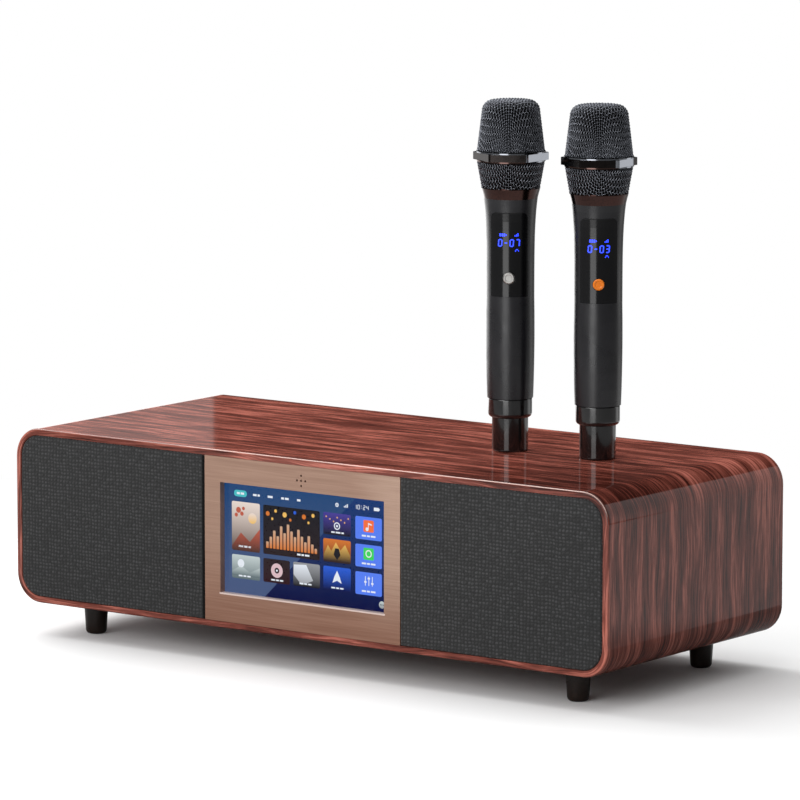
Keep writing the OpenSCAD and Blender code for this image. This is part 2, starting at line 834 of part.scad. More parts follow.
module mic_collar() {
    floor_z0 = head_z0 - collar_floor;
    bore = head_spigot_r - 1.4;
    color([0.35, 0.22, 0.18]) rotate_extrude() polygon([
        [4, floor_z0], [flare_r - 1.8, floor_z0], [flare_r - 1.8, collar_z0],
        [flare_r, collar_z0], [flare_r + 0.8, collar_z0 + 3.4], [collar_r, head_z0],
        [head_spigot_r, head_z0], [head_spigot_r, head_z0 + 5], [bore, head_z0 + 5],
        [bore, head_z0], [4, head_z0]
    ]);
}

// Radius and height on a head's wall, at a length from its foot and a depth into the wall
function lower_wall(s, depth) = [
    collar_r + (head_r - collar_r) * s / lower_l - depth,
    head_z0 + (head_ring_z0 - head_z0) * s / lower_l
];
function upper_wall(s, depth) =
    s < side_l ? [
        head_r - (head_r - head_top_r) * s / side_l - depth,
        head_ring_z1 + (head_top_z - head_round - head_ring_z1) * s / side_l
    ]
    : s < side_l + bend_l ? let (a = 90 * (s - side_l) / bend_l) [
        head_top_r - head_round + (head_round - depth) * cos(a),
        head_top_z - head_round + (head_round - depth) * sin(a)
    ]
    : [upper_l - s, head_top_z - depth];

function around(at, turn) = [at[0] * cos(turn), at[0] * sin(turn), at[1]];

// Net of strands that cross at an angle, with a diamond opening in each mesh. It follows wall()
// from its foot to the length end, where a rim as wide as end_rim closes it.
module wire_net(wall, end, rows, end_rim) {
    n = mesh_columns;
    step = 360 / n;
    pitch = (end - rim_h - end_rim) / (rows + 1);
    crossings = n * (rows + 4);
    layer_size = crossings + 4 * n * rows;

    function turn_of(k, i) = (i + (k % 2) / 2 + 0.5) * step;
    function corners(k, i, depth) = let (
        middle = rim_h + k * pitch,
        turn = turn_of(k, i) - step / 2,
        half_h = pitch - net_inset,
        half_turn = step / 2 - net_inset / wall(middle, 0)[0] * 180 / PI
    ) [
        around(wall(middle - half_h, depth), turn), around(wall(middle, depth), turn + half_turn),
        around(wall(middle + half_h, depth), turn), around(wall(middle, depth), turn - half_turn)
    ];
    // Points at one depth: foot ring, crossings of rows 0 to rows + 1, end ring, then the openings
    function layer(depth) = concat(
        [for (i = [0 : n - 1]) around(wall(0, depth), turn_of(0, i))],
        [for (k = [0 : rows + 1], i = [0 : n - 1])
            around(wall(rim_h + k * pitch, depth), turn_of(k, i))],
        [for (i = [0 : n - 1]) around(wall(end, depth), turn_of(rows + 1, i))],
        [for (k = [1 : rows], i = [0 : n - 1]) each corners(k, i, depth)]
    );
    // Places of the points in that list
    function foot(i) = i % n;
    function cross(k, i) = n * (k + 1) + (i + n) % n;
    function last(i) = n * (rows + 3) + i % n;
    function corner(k, i, c) = crossings + 4 * (n * (k - 1) + i) + c % 4;
    // Crossings below, right of, above and left of the opening i in row k
    function mesh(k, i) = let (j = i + k % 2 - 1)
        [cross(k - 1, j), cross(k, i), cross(k + 1, j), cross(k, i - 1)];
    function quad(a, b, c, d) = [[a, b, c], [a, c, d]];

    skin = concat(
        [for (i = [0 : n - 1]) each quad(foot(i), foot(i + 1), cross(0, i + 1), cross(0, i))],
        [for (i = [0 : n - 1]) [cross(0, i), cross(0, i + 1), cross(1, i)]],
        [for (k = [1 : rows], i = [0 : n - 1]) let (m = mesh(k, i)) for (c = [0 : 3])
            each quad(m[c], m[(c + 1) % 4], corner(k, i, c + 1), corner(k, i, c))],
        [for (i = [0 : n - 1])
            [cross(rows + 1, i), cross(rows, i + (rows + 1) % 2), cross(rows + 1, i + 1)]],
        [for (i = [0 : n - 1])
            each quad(cross(rows + 1, i), cross(rows + 1, i + 1), last(i + 1), last(i))]
    );
    edges = concat(
        [for (i = [0 : n - 1]) [foot(i), foot(i + 1)]],
        [for (k = [1 : rows], i = [0 : n - 1], c = [0 : 3]) [corner(k, i, c + 1), corner(k, i, c)]],
        [for (i = [0 : n - 1]) [last(i + 1), last(i)]]
    );
    inside = [layer_size, layer_size, layer_size];
    polyhedron(
        points = concat(layer(0), layer(mesh_t)),
        faces = concat(
            [for (f = skin) [f[2], f[1], f[0]]],
            [for (f = skin) f + inside],
            [for (e = edges) each quad(e[0], e[1], e[1] + layer_size, e[0] + layer_size)]
        )
    );
}

module mic_lower_basket() {
    color([0.1, 0.1, 0.1])
        wire_net(function (s, depth) lower_wall(s, depth), lower_l, lower_rows, rim_h);
}

// Chromed ring that stops the microphone from rolling: six flats between two round rims
module mic_head_ring() {
    rim = 0.9;
    height = head_ring_z1 - head_ring_z0;
    flats_h = height - 2 * rim;
    color("silver") translate([0, 0, head_ring_z0]) difference() {
        union() {
            cylinder(h = height, r = ring_corner_r * cos(30) - 0.1);
            for (z = [0, height - rim]) translate([0, 0, z]) cylinder(h = rim, r = head_r + 0.4);
            translate([0, 0, rim]) intersection() {
                cylinder(h = flats_h, r = ring_corner_r, $fn = 6);
                cylinder(h = flats_h, r = ring_corner_r - 0.5);
            }
        }
        translate([0, 0, -eps]) cylinder(h = height + 2 * eps, r = head_r - mesh_t);
    }
}

module mic_upper_basket() {
    color([0.1, 0.1, 0.1])
        wire_net(
            function (s, depth) upper_wall(s, depth),
            upper_l - cap_hole_r, upper_rows, cap_r - cap_hole_r
        );
}

module mic_capsule() {
    color("dimgray") rotate_extrude() polygon([
        [0, head_z0], [8, head_z0], [8, head_z0 + 2], [6, head_z0 + 3], [6, head_z0 + 12],
        [11.5, head_z0 + 15], [11.5, head_z0 + 18], [12.5, head_z0 + 19],
        [12.5, head_z0 + 33], [11, head_z0 + 35], [0, head_z0 + 35]
    ]);
}

// Circuit board that hangs from the collar, with battery cradle, display and button switch
module mic_chassis() {
    color("darkgreen") {
        block([-spine_x, spine_x], spine_y, [cradle_z, head_z0 - collar_floor]);
        for (z = [cradle_z, cradle_z + cradle_t + battery_l])
            intersection() {
                block([-12, 12], [-11, 11], [z, z + cradle_t]);
                cylinder(h = head_z0, r = cradle_r);
            }
        block([-7, 7], [-12.2, -9], [display_z - 6, display_z + 6]);
        block([-3, 3], [-11.8, -9], [button_z - 3, button_z + 3]);
        for (z = [button_z, display_z])
            block([-6, 6], [-9.2, 9.8], [z - 4, z - 2]);
    }
}

module mic_battery() {
    z = cradle_z + cradle_t;
    color("steelblue") {
        translate([0, 0, z]) cylinder(h = battery_l - 1.2, r = battery_r);
        translate([0, 0, z + battery_l - 1.3]) cylinder(h = 1.3, r = 3);
    }
}

cabinet_shell();
front_baffle();
speaker_partitions();
rear_panel();
io_plate();
mirror([1, 0, 0]) grille_frame(left_grille);  // left_grille_frame
grille_frame(right_grille);  // right_grille_frame
mirror([1, 0, 0]) grille_cloth(left_grille);  // left_grille_cloth
grille_cloth(right_grille);  // right_grille_cloth
front_panel();
screen_glass();
screen_module();
screen_bracket();
woofer_basket(-1);  // left_woofer_basket
woofer_basket(1);  // right_woofer_basket
woofer_magnet(-1);  // left_woofer_magnet
woofer_magnet(1);  // right_woofer_magnet
woofer_cone(-1);  // left_woofer_cone
woofer_cone(1);  // right_woofer_cone
woofer_surround(-1);  // left_woofer_surround
woofer_surround(1);  // right_woofer_surround
tweeter(-1);  // left_tweeter
tweeter(1);  // right_tweeter
bass_port(-1);  // left_bass_port
bass_port(1);  // right_bass_port
power_inlet();
switch_housing();
power_rocker();
usb_socket();
aux_jack();
main_board();
amplifier_board();
power_supply();
feet();
left_mic() mic_tail();  // left_mic_tail
left_mic() mic_tail_ring();  // left_mic_tail_ring
left_mic() mic_sleeve();  // left_mic_sleeve
left_mic() mic_handle();  // left_mic_handle
left_mic() mic_window();  // left_mic_window
left_mic() mic_button([0.72, 0.72, 0.76]);  // left_mic_button
left_mic() mic_collar();  // left_mic_collar
left_mic() mic_lower_basket();  // left_mic_lower_basket
left_mic() mic_head_ring();  // left_mic_head_ring
left_mic() mic_upper_basket();  // left_mic_upper_basket
left_mic() mic_capsule();  // left_mic_capsule
left_mic() mic_chassis();  // left_mic_chassis
left_mic() mic_battery();  // left_mic_battery
right_mic() mic_tail();  // right_mic_tail
right_mic() mic_tail_ring();  // right_mic_tail_ring
right_mic() mic_sleeve();  // right_mic_sleeve
right_mic() mic_handle();  // right_mic_handle
right_mic() mic_window();  // right_mic_window
right_mic() mic_button([1, 0.55, 0]);  // right_mic_button
right_mic() mic_collar();  // right_mic_collar
right_mic() mic_lower_basket();  // right_mic_lower_basket
right_mic() mic_head_ring();  // right_mic_head_ring
right_mic() mic_upper_basket();  // right_mic_upper_basket
right_mic() mic_capsule();  // right_mic_capsule
right_mic() mic_chassis();  // right_mic_chassis
right_mic() mic_battery();  // right_mic_battery
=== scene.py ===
import math

import bmesh
import bpy
import numpy as np
from mathutils import Matrix, Vector
from mathutils.bvhtree import BVHTree


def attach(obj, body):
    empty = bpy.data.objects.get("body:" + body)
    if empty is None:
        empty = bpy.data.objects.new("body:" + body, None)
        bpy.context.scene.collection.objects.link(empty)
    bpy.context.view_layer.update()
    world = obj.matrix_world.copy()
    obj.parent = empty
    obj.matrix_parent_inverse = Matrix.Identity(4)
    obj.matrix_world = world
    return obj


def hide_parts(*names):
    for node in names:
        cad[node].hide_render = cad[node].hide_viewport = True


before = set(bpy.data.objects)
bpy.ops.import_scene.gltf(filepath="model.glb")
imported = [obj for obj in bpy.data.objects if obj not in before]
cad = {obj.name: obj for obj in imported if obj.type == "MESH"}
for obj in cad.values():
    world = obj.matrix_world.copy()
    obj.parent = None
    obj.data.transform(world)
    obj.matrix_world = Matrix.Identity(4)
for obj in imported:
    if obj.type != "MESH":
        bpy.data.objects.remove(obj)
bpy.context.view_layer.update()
scene = bpy.context.scene
scene.view_settings.view_transform = "Standard"
mm = 0.001

# Lengths are in millimetres, angles in degrees and colours in 0-255, as they look on a screen.
cabinet = {"halfWidth": 260.0, "halfHeight": 63.75, "corner": 21.0, "middle": 87.75,
           "top": 151.5, "front": -109.0}
wood = {"dark": (60, 25, 19), "middle": (124, 64, 53), "light": (200, 119, 103),
        # The edge colour and the edge widths, start and brightness below paint a highlight along the front
        # top edge
        "streakLength": 38.0, "streakWidth": 1.4, "gloss": 0.06, "edge": (232, 196, 184),
        "sway": 15.0, "swayLength": 95.0, "swayWidth": 42.0, "pores": 0.22,
        # The next three values set a painted shade that darkens the top towards the front right
        "frontShade": 0.3, "frontShadeFrom": (60.0, 30.0), "frontShadeFull": (225.0, -80.0),
        "edgeWide": 0.5, "edgeEnd": 0.9, "edgeFrom": (-120.0, -80.0), "edgeDim": 0.25, "edgeBright": 0.8}
# The low colours give the panel a painted shade towards the bottom
bronze = {"lowDark": (154, 112, 93), "lowLight": (172, 130, 110), "highDark": (174, 139, 121),
          # The side colours paint light on the panel right of the screen
          "highLight": (192, 157, 138), "sideDark": (192, 158, 139), "sideLight": (208, 176, 157),
          # The ledge colour is a painted highlight under the screen opening
          "ledgeHighlight": (250, 226, 216), "ledgeTop": 49.6, "ledgeTall": 1.3, "ledgeHalf": 72.8}
cloth = {"yarn": (71, 71, 72), "gap": (41, 41, 41), "shade": (10, 10, 10), "shadeFrom": (-88.6, -88.0),
         "pitchAcross": 2.9, "pitchUp": 2.6, "thickness": 0.8, "depth": 13.6, "edgeRound": 1.3,
         "spans": {"left": (-255.1, -87.1), "right": (86.0, 254.4)},
         "halfHeight": 58.85, "corner": 16.1}
basket = {"pitch": 2.05, "wire": 0.27, "crimp": 0.5, "turn": -90.0, "drawn": (16.0, 34.0), "shear": 0.41}
foam = {"gap": 1.9, "thickness": 3.0}
mics = {
    "left": {"x": 93.3, "y": 11.3, "turn": 31.0, "digits": "0-07"},
    "right": {"x": 163.6, "y": 17.8, "turn": 35.0, "digits": "0-03"},
}
head = {"collarTop": 186.0, "collarR": 20.7, "ringLow": 205.0, "ringHigh": 212.0, "ringR": 23.95,
        "top": 248.0, "topR": 20.6, "bend": 8.0}
# The shiny, upper and lower colours are painted reflections on the ring's right flat and rims
ringMetal = {"flat": (38, 35, 34), "flatWorn": (46, 42, 41), "paintedReflection": (178, 182, 190),
             "upper": (128, 131, 137), "lower": (84, 66, 62), "rim": 0.9, "flatFrom": 22.6,
             "roughness": (0.1, 0.16)}
display = {"height": 149.0, "colour": (38, 64, 255), "power": 3.2}
screen = {"centre": 89.0, "halfWidth": 72.0, "halfHeight": 39.5, "y": -102.94, "power": 0.95}
cameraPose = {
    "lens": 261.1,
    "place": (2431.5, -3284.5, 772.6),
    "right": (0.804321155, 0.594194746, 0.000289694),
    "up": (-0.085441265, 0.115173547, 0.989664006),
    "back": (0.588019788, -0.796032448, 0.143405271),
}


def toLinear(colour):
    parts = [c / 255 for c in colour]
    return tuple(c / 12.92 if c <= 0.04045 else ((c + 0.055) / 1.055) ** 2.4 for c in parts)


def paint(colour):
    return (*toLinear(colour), 1.0)


# Node tree helpers

def put(tree, kind, inputs=None, **settings):
    node = tree.nodes.new(kind)
    for name, value in settings.items():
        setattr(node, name, value)
    for key, value in (inputs or {}).items():
        plug(tree, node.inputs[key], value)
    return node


def plug(tree, socket, value):
    if isinstance(value, bpy.types.NodeSocket):
        tree.links.new(value, socket)
    else:
        socket.default_value = value


def calc(tree, operation, *values):
    node = tree.nodes.new("ShaderNodeMath")
    node.operation = operation
    for socket, value in zip(node.inputs, values):
        plug(tree, socket, value)
    return node.outputs[0]


def vec(tree, operation, *values):
    node = tree.nodes.new("ShaderNodeVectorMath")
    node.operation = operation
    for socket, value in zip(node.inputs, values):
        plug(tree, socket, value)
    return node.outputs[1] if operation == "LENGTH" else node.outputs[0]


def chain(tree, operation, first, *others):
    for value in others:
        first = calc(tree, operation, first, value)
    return first


def plus(tree, *values):
    return chain(tree, "ADD", *values)


def times(tree, *values):
    return chain(tree, "MULTIPLY", *values)


def minus(tree, *values):
    return chain(tree, "SUBTRACT", *values)


def over(tree, *values):
    return chain(tree, "DIVIDE", *values)


def made(tree, kind, inputs=None, **settings):
    return put(tree, kind, inputs, **settings).outputs[0]


def split(tree, vector):
    return put(tree, "ShaderNodeSeparateXYZ", {0: vector}).outputs


def join(tree, x, y, z):
    return made(tree, "ShaderNodeCombineXYZ", {0: x, 1: y, 2: z})


def noise(tree, vector, detail=2.0, roughness=0.5):
    return made(tree, "ShaderNodeTexNoise",
                {"Vector": vector, "Scale": 1.0, "Detail": detail, "Roughness": roughness})


def remap(tree, value, low, high, toLow=0.0, toHigh=1.0):
    return made(tree, "ShaderNodeMapRange",
                {"Value": value, "From Min": low, "From Max": high, "To Min": toLow, "To Max": toHigh},
                interpolation_type="SMOOTHSTEP")


def blend(tree, factor, a, b):
    node = tree.nodes.new("ShaderNodeMix")
    node.data_type = "RGBA"
    plug(tree, node.inputs[0], factor)
    plug(tree, node.inputs[6], a)
    plug(tree, node.inputs[7], b)
    return node.outputs[2]


def newGroup(name, inputs, outputs):
    tree = bpy.data.node_groups.new(name, "ShaderNodeTree")
    for label, kind, value in inputs:
        socket = tree.interface.new_socket(label, in_out="INPUT", socket_type=kind)
        if value is not None:
            socket.default_value = value
    for label, kind in outputs:
        tree.interface.new_socket(label, in_out="OUTPUT", socket_type=kind)
    source = tree.nodes.new("NodeGroupInput").outputs
    target = tree.nodes.new("NodeGroupOutput").inputs
    return tree, source, target


number, colourKind, vectorKind = "NodeSocketFloat", "NodeSocketColor", "NodeSocketVector"


# Red-brown veneer: the grain follows the shell round its long corners
def makeWoodGroup():
    tree, source, target = newGroup("Veneer", [
        ("Vector", vectorKind, None), ("Dark", colourKind, None), ("Middle", colourKind, None),
        ("Light", colourKind, None), ("Edge", colourKind, None), ("Streak Length", number, None),
        ("Streak Width", number, None),
    ], [("Color", colourKind), ("Roughness", number), ("Height", number)])
    x, y, z = split(tree, vec(tree, "MULTIPLY", source["Vector"], (1 / mm,) * 3))
    z = minus(tree, z, cabinet["middle"])
    coreX = cabinet["halfWidth"] - cabinet["corner"]
    coreZ = cabinet["halfHeight"] - cabinet["corner"]
    middleRun = coreX + cabinet["corner"] * math.pi / 2 + coreZ
    awayX, awayZ = calc(tree, "ABSOLUTE", x), calc(tree, "ABSOLUTE", z)
    overX = calc(tree, "MAXIMUM", minus(tree, awayX, coreX), 0.0)
    overZ = calc(tree, "MAXIMUM", minus(tree, awayZ, coreZ), 0.0)
    bend = times(tree, calc(tree, "ARCTAN2", overX, overZ), cabinet["corner"])
    run = plus(tree, plus(tree, calc(tree, "MINIMUM", awayX, coreX), bend),
               minus(tree, coreZ, calc(tree, "MINIMUM", awayZ, coreZ)))
    below = calc(tree, "LESS_THAN", z, 0.0)
    flipped = minus(tree, 2 * middleRun, run)
    run = plus(tree, times(tree, run, minus(tree, 1.0, below)), times(tree, flipped, below))
    run = times(tree, run, calc(tree, "SIGN", x))
    reach = calc(tree, "SQRT", plus(tree, times(tree, overX, overX), times(tree, overZ, overZ)))
    depth = minus(tree, cabinet["corner"], reach)
    across = minus(tree, y, depth)
    sway = noise(tree, join(tree, over(tree, run, wood["swayLength"]),
                            over(tree, across, wood["swayWidth"]), 3.0), detail=1.5)
    across = plus(tree, across, times(tree, minus(tree, sway, 0.5), wood["sway"]))

    def stretched(lengthTimes, widthTimes, seed, detail, roughness=0.55):
        long = over(tree, run, times(tree, source["Streak Length"], lengthTimes))
        wide = over(tree, across, times(tree, source["Streak Width"], widthTimes))
        return noise(tree, join(tree, long, wide, seed), detail, roughness)

    bands = remap(tree, stretched(2.8, 6.0, 11.0, 3.0), 0.34, 0.66)
    streaks = remap(tree, stretched(1.0, 1.3, 23.0, 4.0, 0.62), 0.34, 0.64)
    fine = remap(tree, stretched(0.55, 0.36, 37.0, 3.0), 0.3, 0.7)
    pores = remap(tree, stretched(0.16, 0.22, 51.0, 2.0), 0.60, 0.74)
    tone = plus(tree, times(tree, bands, 0.40),
                plus(tree, times(tree, streaks, 0.38), times(tree, fine, 0.22)))
    tone = minus(tree, tone, times(tree, pores, wood["pores"]))
    # Painted shade: the top turns darker towards the front right, where less light falls
    (fromX, fromY), (fullX, fullY) = wood["frontShadeFrom"], wood["frontShadeFull"]
    frontShade = times(tree, remap(tree, x, fromX, fullX), remap(tree, y, fromY, fullY),
                  remap(tree, z, coreZ, coreZ + 10))
    tone = minus(tree, tone, times(tree, frontShade, wood["frontShade"]))
    low = blend(tree, remap(tree, tone, 0.10, 0.50), source["Dark"], source["Middle"])
    colour = blend(tree, remap(tree, tone, 0.48, 0.90), low, source["Light"])
    # Painted highlight: a light line along the front top edge, where the lacquer would catch the light
    full, none = wood["edgeWide"], wood["edgeEnd"]
    edge = times(tree, remap(tree, y, cabinet["front"] + none, cabinet["front"] + full),
                 remap(tree, depth, none, full))
    upper = times(tree, remap(tree, z, coreZ + 2, coreZ + 12),
                  remap(tree, x, *wood["edgeFrom"], wood["edgeDim"], wood["edgeBright"]))
    colour = blend(tree, times(tree, edge, upper), colour, source["Edge"])
    plug(tree, target["Color"], colour)
    plug(tree, target["Roughness"], remap(tree, tone, 0.0, 1.0, 0.50, 0.36))
    plug(tree, target["Height"], minus(tree, tone, times(tree, pores, 0.3)))
    return tree


# Fine straight lines along X, as a brush leaves them in metal
def makeBrushedGroup():
    tree, source, target = newGroup("Brushed", [
        ("Vector", vectorKind, None), ("Line Length", number, 34.0), ("Line Width", number, 0.28),
    ], [("Tone", number), ("Roughness", number), ("Height", number)])
    x, y, z = split(tree, vec(tree, "MULTIPLY", source["Vector"], (1 / mm,) * 3))
    up = plus(tree, z, times(tree, y, 0.7))
    fine = noise(tree, join(tree, over(tree, x, source["Line Length"]),
                            over(tree, up, source["Line Width"]), 2.0), detail=3.0)
    broad = noise(tree, join(
        tree, over(tree, x, times(tree, source["Line Length"], 2.4)),
        over(tree, up, times(tree, source["Line Width"], 7.0)), 9.0), detail=2.0)
    tone = plus(tree, times(tree, fine, 0.55), times(tree, broad, 0.45))
    plug(tree, target["Tone"], remap(tree, tone, 0.34, 0.66))
    plug(tree, target["Roughness"], remap(tree, tone, 0.3, 0.7, 0.34, 0.46))
    plug(tree, target["Height"], fine)
    return tree


# Uneven colour, polish and relief of moulded, cast, painted and pressed parts
def makeSurfaceGroup():
    tree, source, target = newGroup("Surface", [
        ("Vector", vectorKind, None), ("Size", number, None), ("Cloud Size", number, 24.0),
    ], [("Tone", number), ("Polish", number), ("Height", number)])
    place = vec(tree, "MULTIPLY", source["Vector"], (1 / mm,) * 3)

    def sized(size):
        scale = over(tree, 1.0, source[size])
        return noise(tree, made(tree, "ShaderNodeVectorMath", {0: place, 3: scale}, operation="SCALE"), 3.0)

    grain, cloud = sized("Size"), sized("Cloud Size")
    tone = plus(tree, times(tree, grain, 0.6), times(tree, cloud, 0.4))
    plug(tree, target["Tone"], remap(tree, tone, 0.34, 0.66))
    plug(tree, target["Polish"], remap(tree, cloud, 0.35, 0.65))
    plug(tree, target["Height"], grain)
    return tree


# Open weave of thick uneven yarn: one raised loop in each cell
def makeWeaveGroup():
    tree, source, target = newGroup("Weave", [
        ("Vector", vectorKind, None), ("Pitch Across", number, None), ("Pitch Up", number, None),
    ], [("Tone", number), ("Height", number)])
    x, y, z = split(tree, vec(tree, "MULTIPLY", source["Vector"], (1 / mm,) * 3))
    wobble = noise(tree, join(tree, over(tree, x, 9.0), over(tree, z, 9.0), 4.0))
    shift = times(tree, minus(tree, wobble, 0.5), 1.1)
    acrossRun = plus(tree, over(tree, plus(tree, x, y), source["Pitch Across"]), shift)
    upRun = plus(tree, over(tree, plus(tree, z, y), source["Pitch Up"]), shift)
    column = calc(tree, "FLOOR", acrossRun)
    row = calc(tree, "FLOOR", upRun)
    chance = put(tree, "ShaderNodeTexWhiteNoise", {"Vector": join(tree, column, row, 7.0)},
                 noise_dimensions="3D").outputs["Value"]
    awayA = times(tree, minus(tree, calc(tree, "FRACT", acrossRun), 0.5), 2.0)
    awayB = times(tree, minus(tree, calc(tree, "FRACT", upRun), 0.5), 2.0)
    away = calc(tree, "SQRT", plus(tree, calc(tree, "POWER", awayA, 2.0),
                                   times(tree, calc(tree, "POWER", awayB, 2.0), 1.25)))
    loop = remap(tree, away, 1.05, 0.15)

    def uneven(across, up, detail):
        return noise(tree, join(tree, times(tree, x, across), times(tree, z, up),
                                times(tree, y, across)), detail)

    fibres, between = uneven(3.2, 5.0, 4.0), uneven(0.62, 0.9, 2.0)
    tone = times(tree, loop, remap(tree, chance, 0.0, 1.0, 0.15, 1.0))
    tone = plus(tree, times(tree, tone, 0.66),
                plus(tree, times(tree, fibres, 0.32), times(tree, between, 0.34)))
    plug(tree, target["Tone"], remap(tree, tone, 0.18, 0.95))
    plug(tree, target["Height"], plus(tree, loop, times(tree, fibres, 0.4)))
    return tree


woodGroup = makeWoodGroup()
brushedGroup = makeBrushedGroup()
surfaceGroup = makeSurfaceGroup()
weaveGroup = makeWeaveGroup()
print("groups made")


# Materials

def startMaterial(name, **constants):
    material = bpy.data.materials.new(name)
    material.use_nodes = True
    tree = material.node_tree
    shader = tree.nodes["Principled BSDF"]
    feed(tree, shader, **constants)
    place = tree.nodes.new("ShaderNodeTexCoord").outputs["Object"]
    return material, tree, shader, place


def feed(tree, node, **inputs):
    for label, value in inputs.items():
        plug(tree, node.inputs[label.replace("_", " ")], value)


def useGroup(tree, group, **inputs):
    node = put(tree, "ShaderNodeGroup", node_tree=group)
    feed(tree, node, **inputs)
    return node.outputs


def addBump(tree, shader, height, depth):
    feed(tree, shader, Normal=made(
        tree, "ShaderNodeBump", {"Strength": 1.0, "Distance": depth * mm, "Height": height}))


def makeSurface(name, look):
    material, tree, shader, place = startMaterial(
        name, Metallic=look.get("metallic", 0.0), Specular_IOR_Level=look.get("specular", 0.5),
        Coat_Weight=look.get("coat", 0.0), Coat_Roughness=look.get("coatRoughness", 0.05))
    marks = useGroup(tree, surfaceGroup, Vector=place, Size=look["size"])
    first = look["colour"]
    second = look.get("second", tuple(min(255, c * 1.12 + 3) for c in first))
    rough, spread = look["roughness"], look.get("spread", 0.05)
    feed(tree, shader, Base_Color=blend(tree, marks["Tone"], paint(first), paint(second)),
         Roughness=remap(tree, marks["Polish"], 0.0, 1.0, rough - spread, rough + spread))
    if "bump" in look:
        addBump(tree, shader, marks["Height"], look["bump"])
    return material


surfaces = {
    "raw_board": {"colour": (150, 118, 84), "second": (176, 142, 104), "roughness": 0.8,
                  "size": 0.8, "bump": 0.12},
    "painted_board": {"colour": (27, 26, 26), "second": (38, 36, 35), "roughness": 0.52,
                      "size": 0.7, "bump": 0.07},
    "frame_plastic": {"colour": (24, 24, 25), "roughness": 0.5, "size": 0.3, "bump": 0.03},
    "display_metal": {"colour": (168, 170, 174), "metallic": 1.0, "roughness": 0.35,
                      "size": 1.2, "bump": 0.01},
    "speaker_steel": {"colour": (46, 47, 49), "roughness": 0.38, "size": 0.25, "bump": 0.02},
    "magnet_ferrite": {"colour": (52, 51, 51), "second": (72, 70, 69), "roughness": 0.6,
                       "size": 0.5, "bump": 0.05},
    "cone_paper": {"colour": (36, 34, 33), "second": (54, 51, 49), "roughness": 0.85,
                   "size": 0.6, "bump": 0.12},
    "soft_rubber": {"colour": (22, 22, 22), "roughness": 0.62, "size": 0.4, "bump": 0.02},
    "black_plate": {"colour": (30, 30, 31), "roughness": 0.42, "size": 0.3, "bump": 0.03},
    "connector_plastic": {"colour": (18, 18, 19), "roughness": 0.38, "size": 0.25, "bump": 0.02},
    "connector_shell": {"colour": (186, 188, 190), "metallic": 1.0, "roughness": 0.28,
                        "size": 0.8, "bump": 0.01},
    "circuit_board": {"colour": (12, 62, 34), "second": (22, 84, 46), "roughness": 0.35,
                      "size": 1.6, "bump": 0.02, "coat": 0.5},
    "foot_lacquer": {"colour": (22, 13, 9), "second": (36, 23, 17), "roughness": 0.3,
                     "size": 2.0, "coat": 0.7, "specular": 0.2},
    "gloss_black": {"colour": (13, 13, 14), "roughness": 0.16, "spread": 0.03, "size": 0.4,
                    "bump": 0.004, "coat": 0.6},
    "satin_black": {"colour": (20, 20, 24), "second": (25, 25, 29), "roughness": 0.3,
                    "size": 0.16, "bump": 0.012},
    "window_lens": {"colour": (7, 7, 9), "roughness": 0.12, "spread": 0.02, "size": 1.0,
                    "coat": 0.7, "coatRoughness": 0.14, "specular": 0.0},
    "silver_button": {"colour": (150, 149, 146), "metallic": 0.85, "roughness": 0.32,
                      "size": 0.3, "bump": 0.006},
    "orange_button": {"colour": (244, 126, 12), "second": (252, 140, 22), "roughness": 0.32,
                      "size": 0.3, "bump": 0.006, "coat": 0.4},
    "rose_chrome": {"colour": (56, 42, 40), "second": (68, 48, 44), "metallic": 1.0,
                    "roughness": 0.13, "spread": 0.04, "size": 1.2},
    "wire_mesh": {"colour": (94, 96, 102), "second": (132, 135, 143), "metallic": 1.0,
                  "roughness": 0.22, "spread": 0.05, "size": 0.9},
    "capsule_metal": {"colour": (120, 118, 114), "metallic": 1.0, "roughness": 0.4,
                      "size": 0.6, "bump": 0.01},
    "battery_wrap": {"colour": (36, 66, 128), "second": (44, 76, 142), "roughness": 0.3,
                     "size": 2.5, "coat": 0.5},
    "zinc_screw": {"colour": (52, 52, 55), "second": (70, 70, 74), "metallic": 1.0,
                   "roughness": 0.34, "size": 0.4, "bump": 0.01},
    "mic_foam": {"colour": (5, 5, 6), "second": (12, 12, 13), "roughness": 0.95,
                 "specular": 0.2, "size": 0.45, "bump": 0.25},
    "white_print": {"colour": (196, 196, 194), "roughness": 0.6, "size": 0.3},
}
materials = {name: makeSurface(name, look) for name, look in surfaces.items()}


def makeWood():
    material, tree, shader, place = startMaterial(
        "lacquered_wood", Coat_Weight=0.7, Coat_Roughness=wood["gloss"], Specular_IOR_Level=0.0)
    grain = useGroup(tree, woodGroup, Vector=place, Dark=paint(wood["dark"]),
                     Middle=paint(wood["middle"]), Light=paint(wood["light"]), Edge=paint(wood["edge"]),
                     Streak_Length=wood["streakLength"], Streak_Width=wood["streakWidth"])
    feed(tree, shader, Base_Color=grain["Color"], Roughness=grain["Roughness"])
    addBump(tree, shader, grain["Height"], 0.05)
    return material


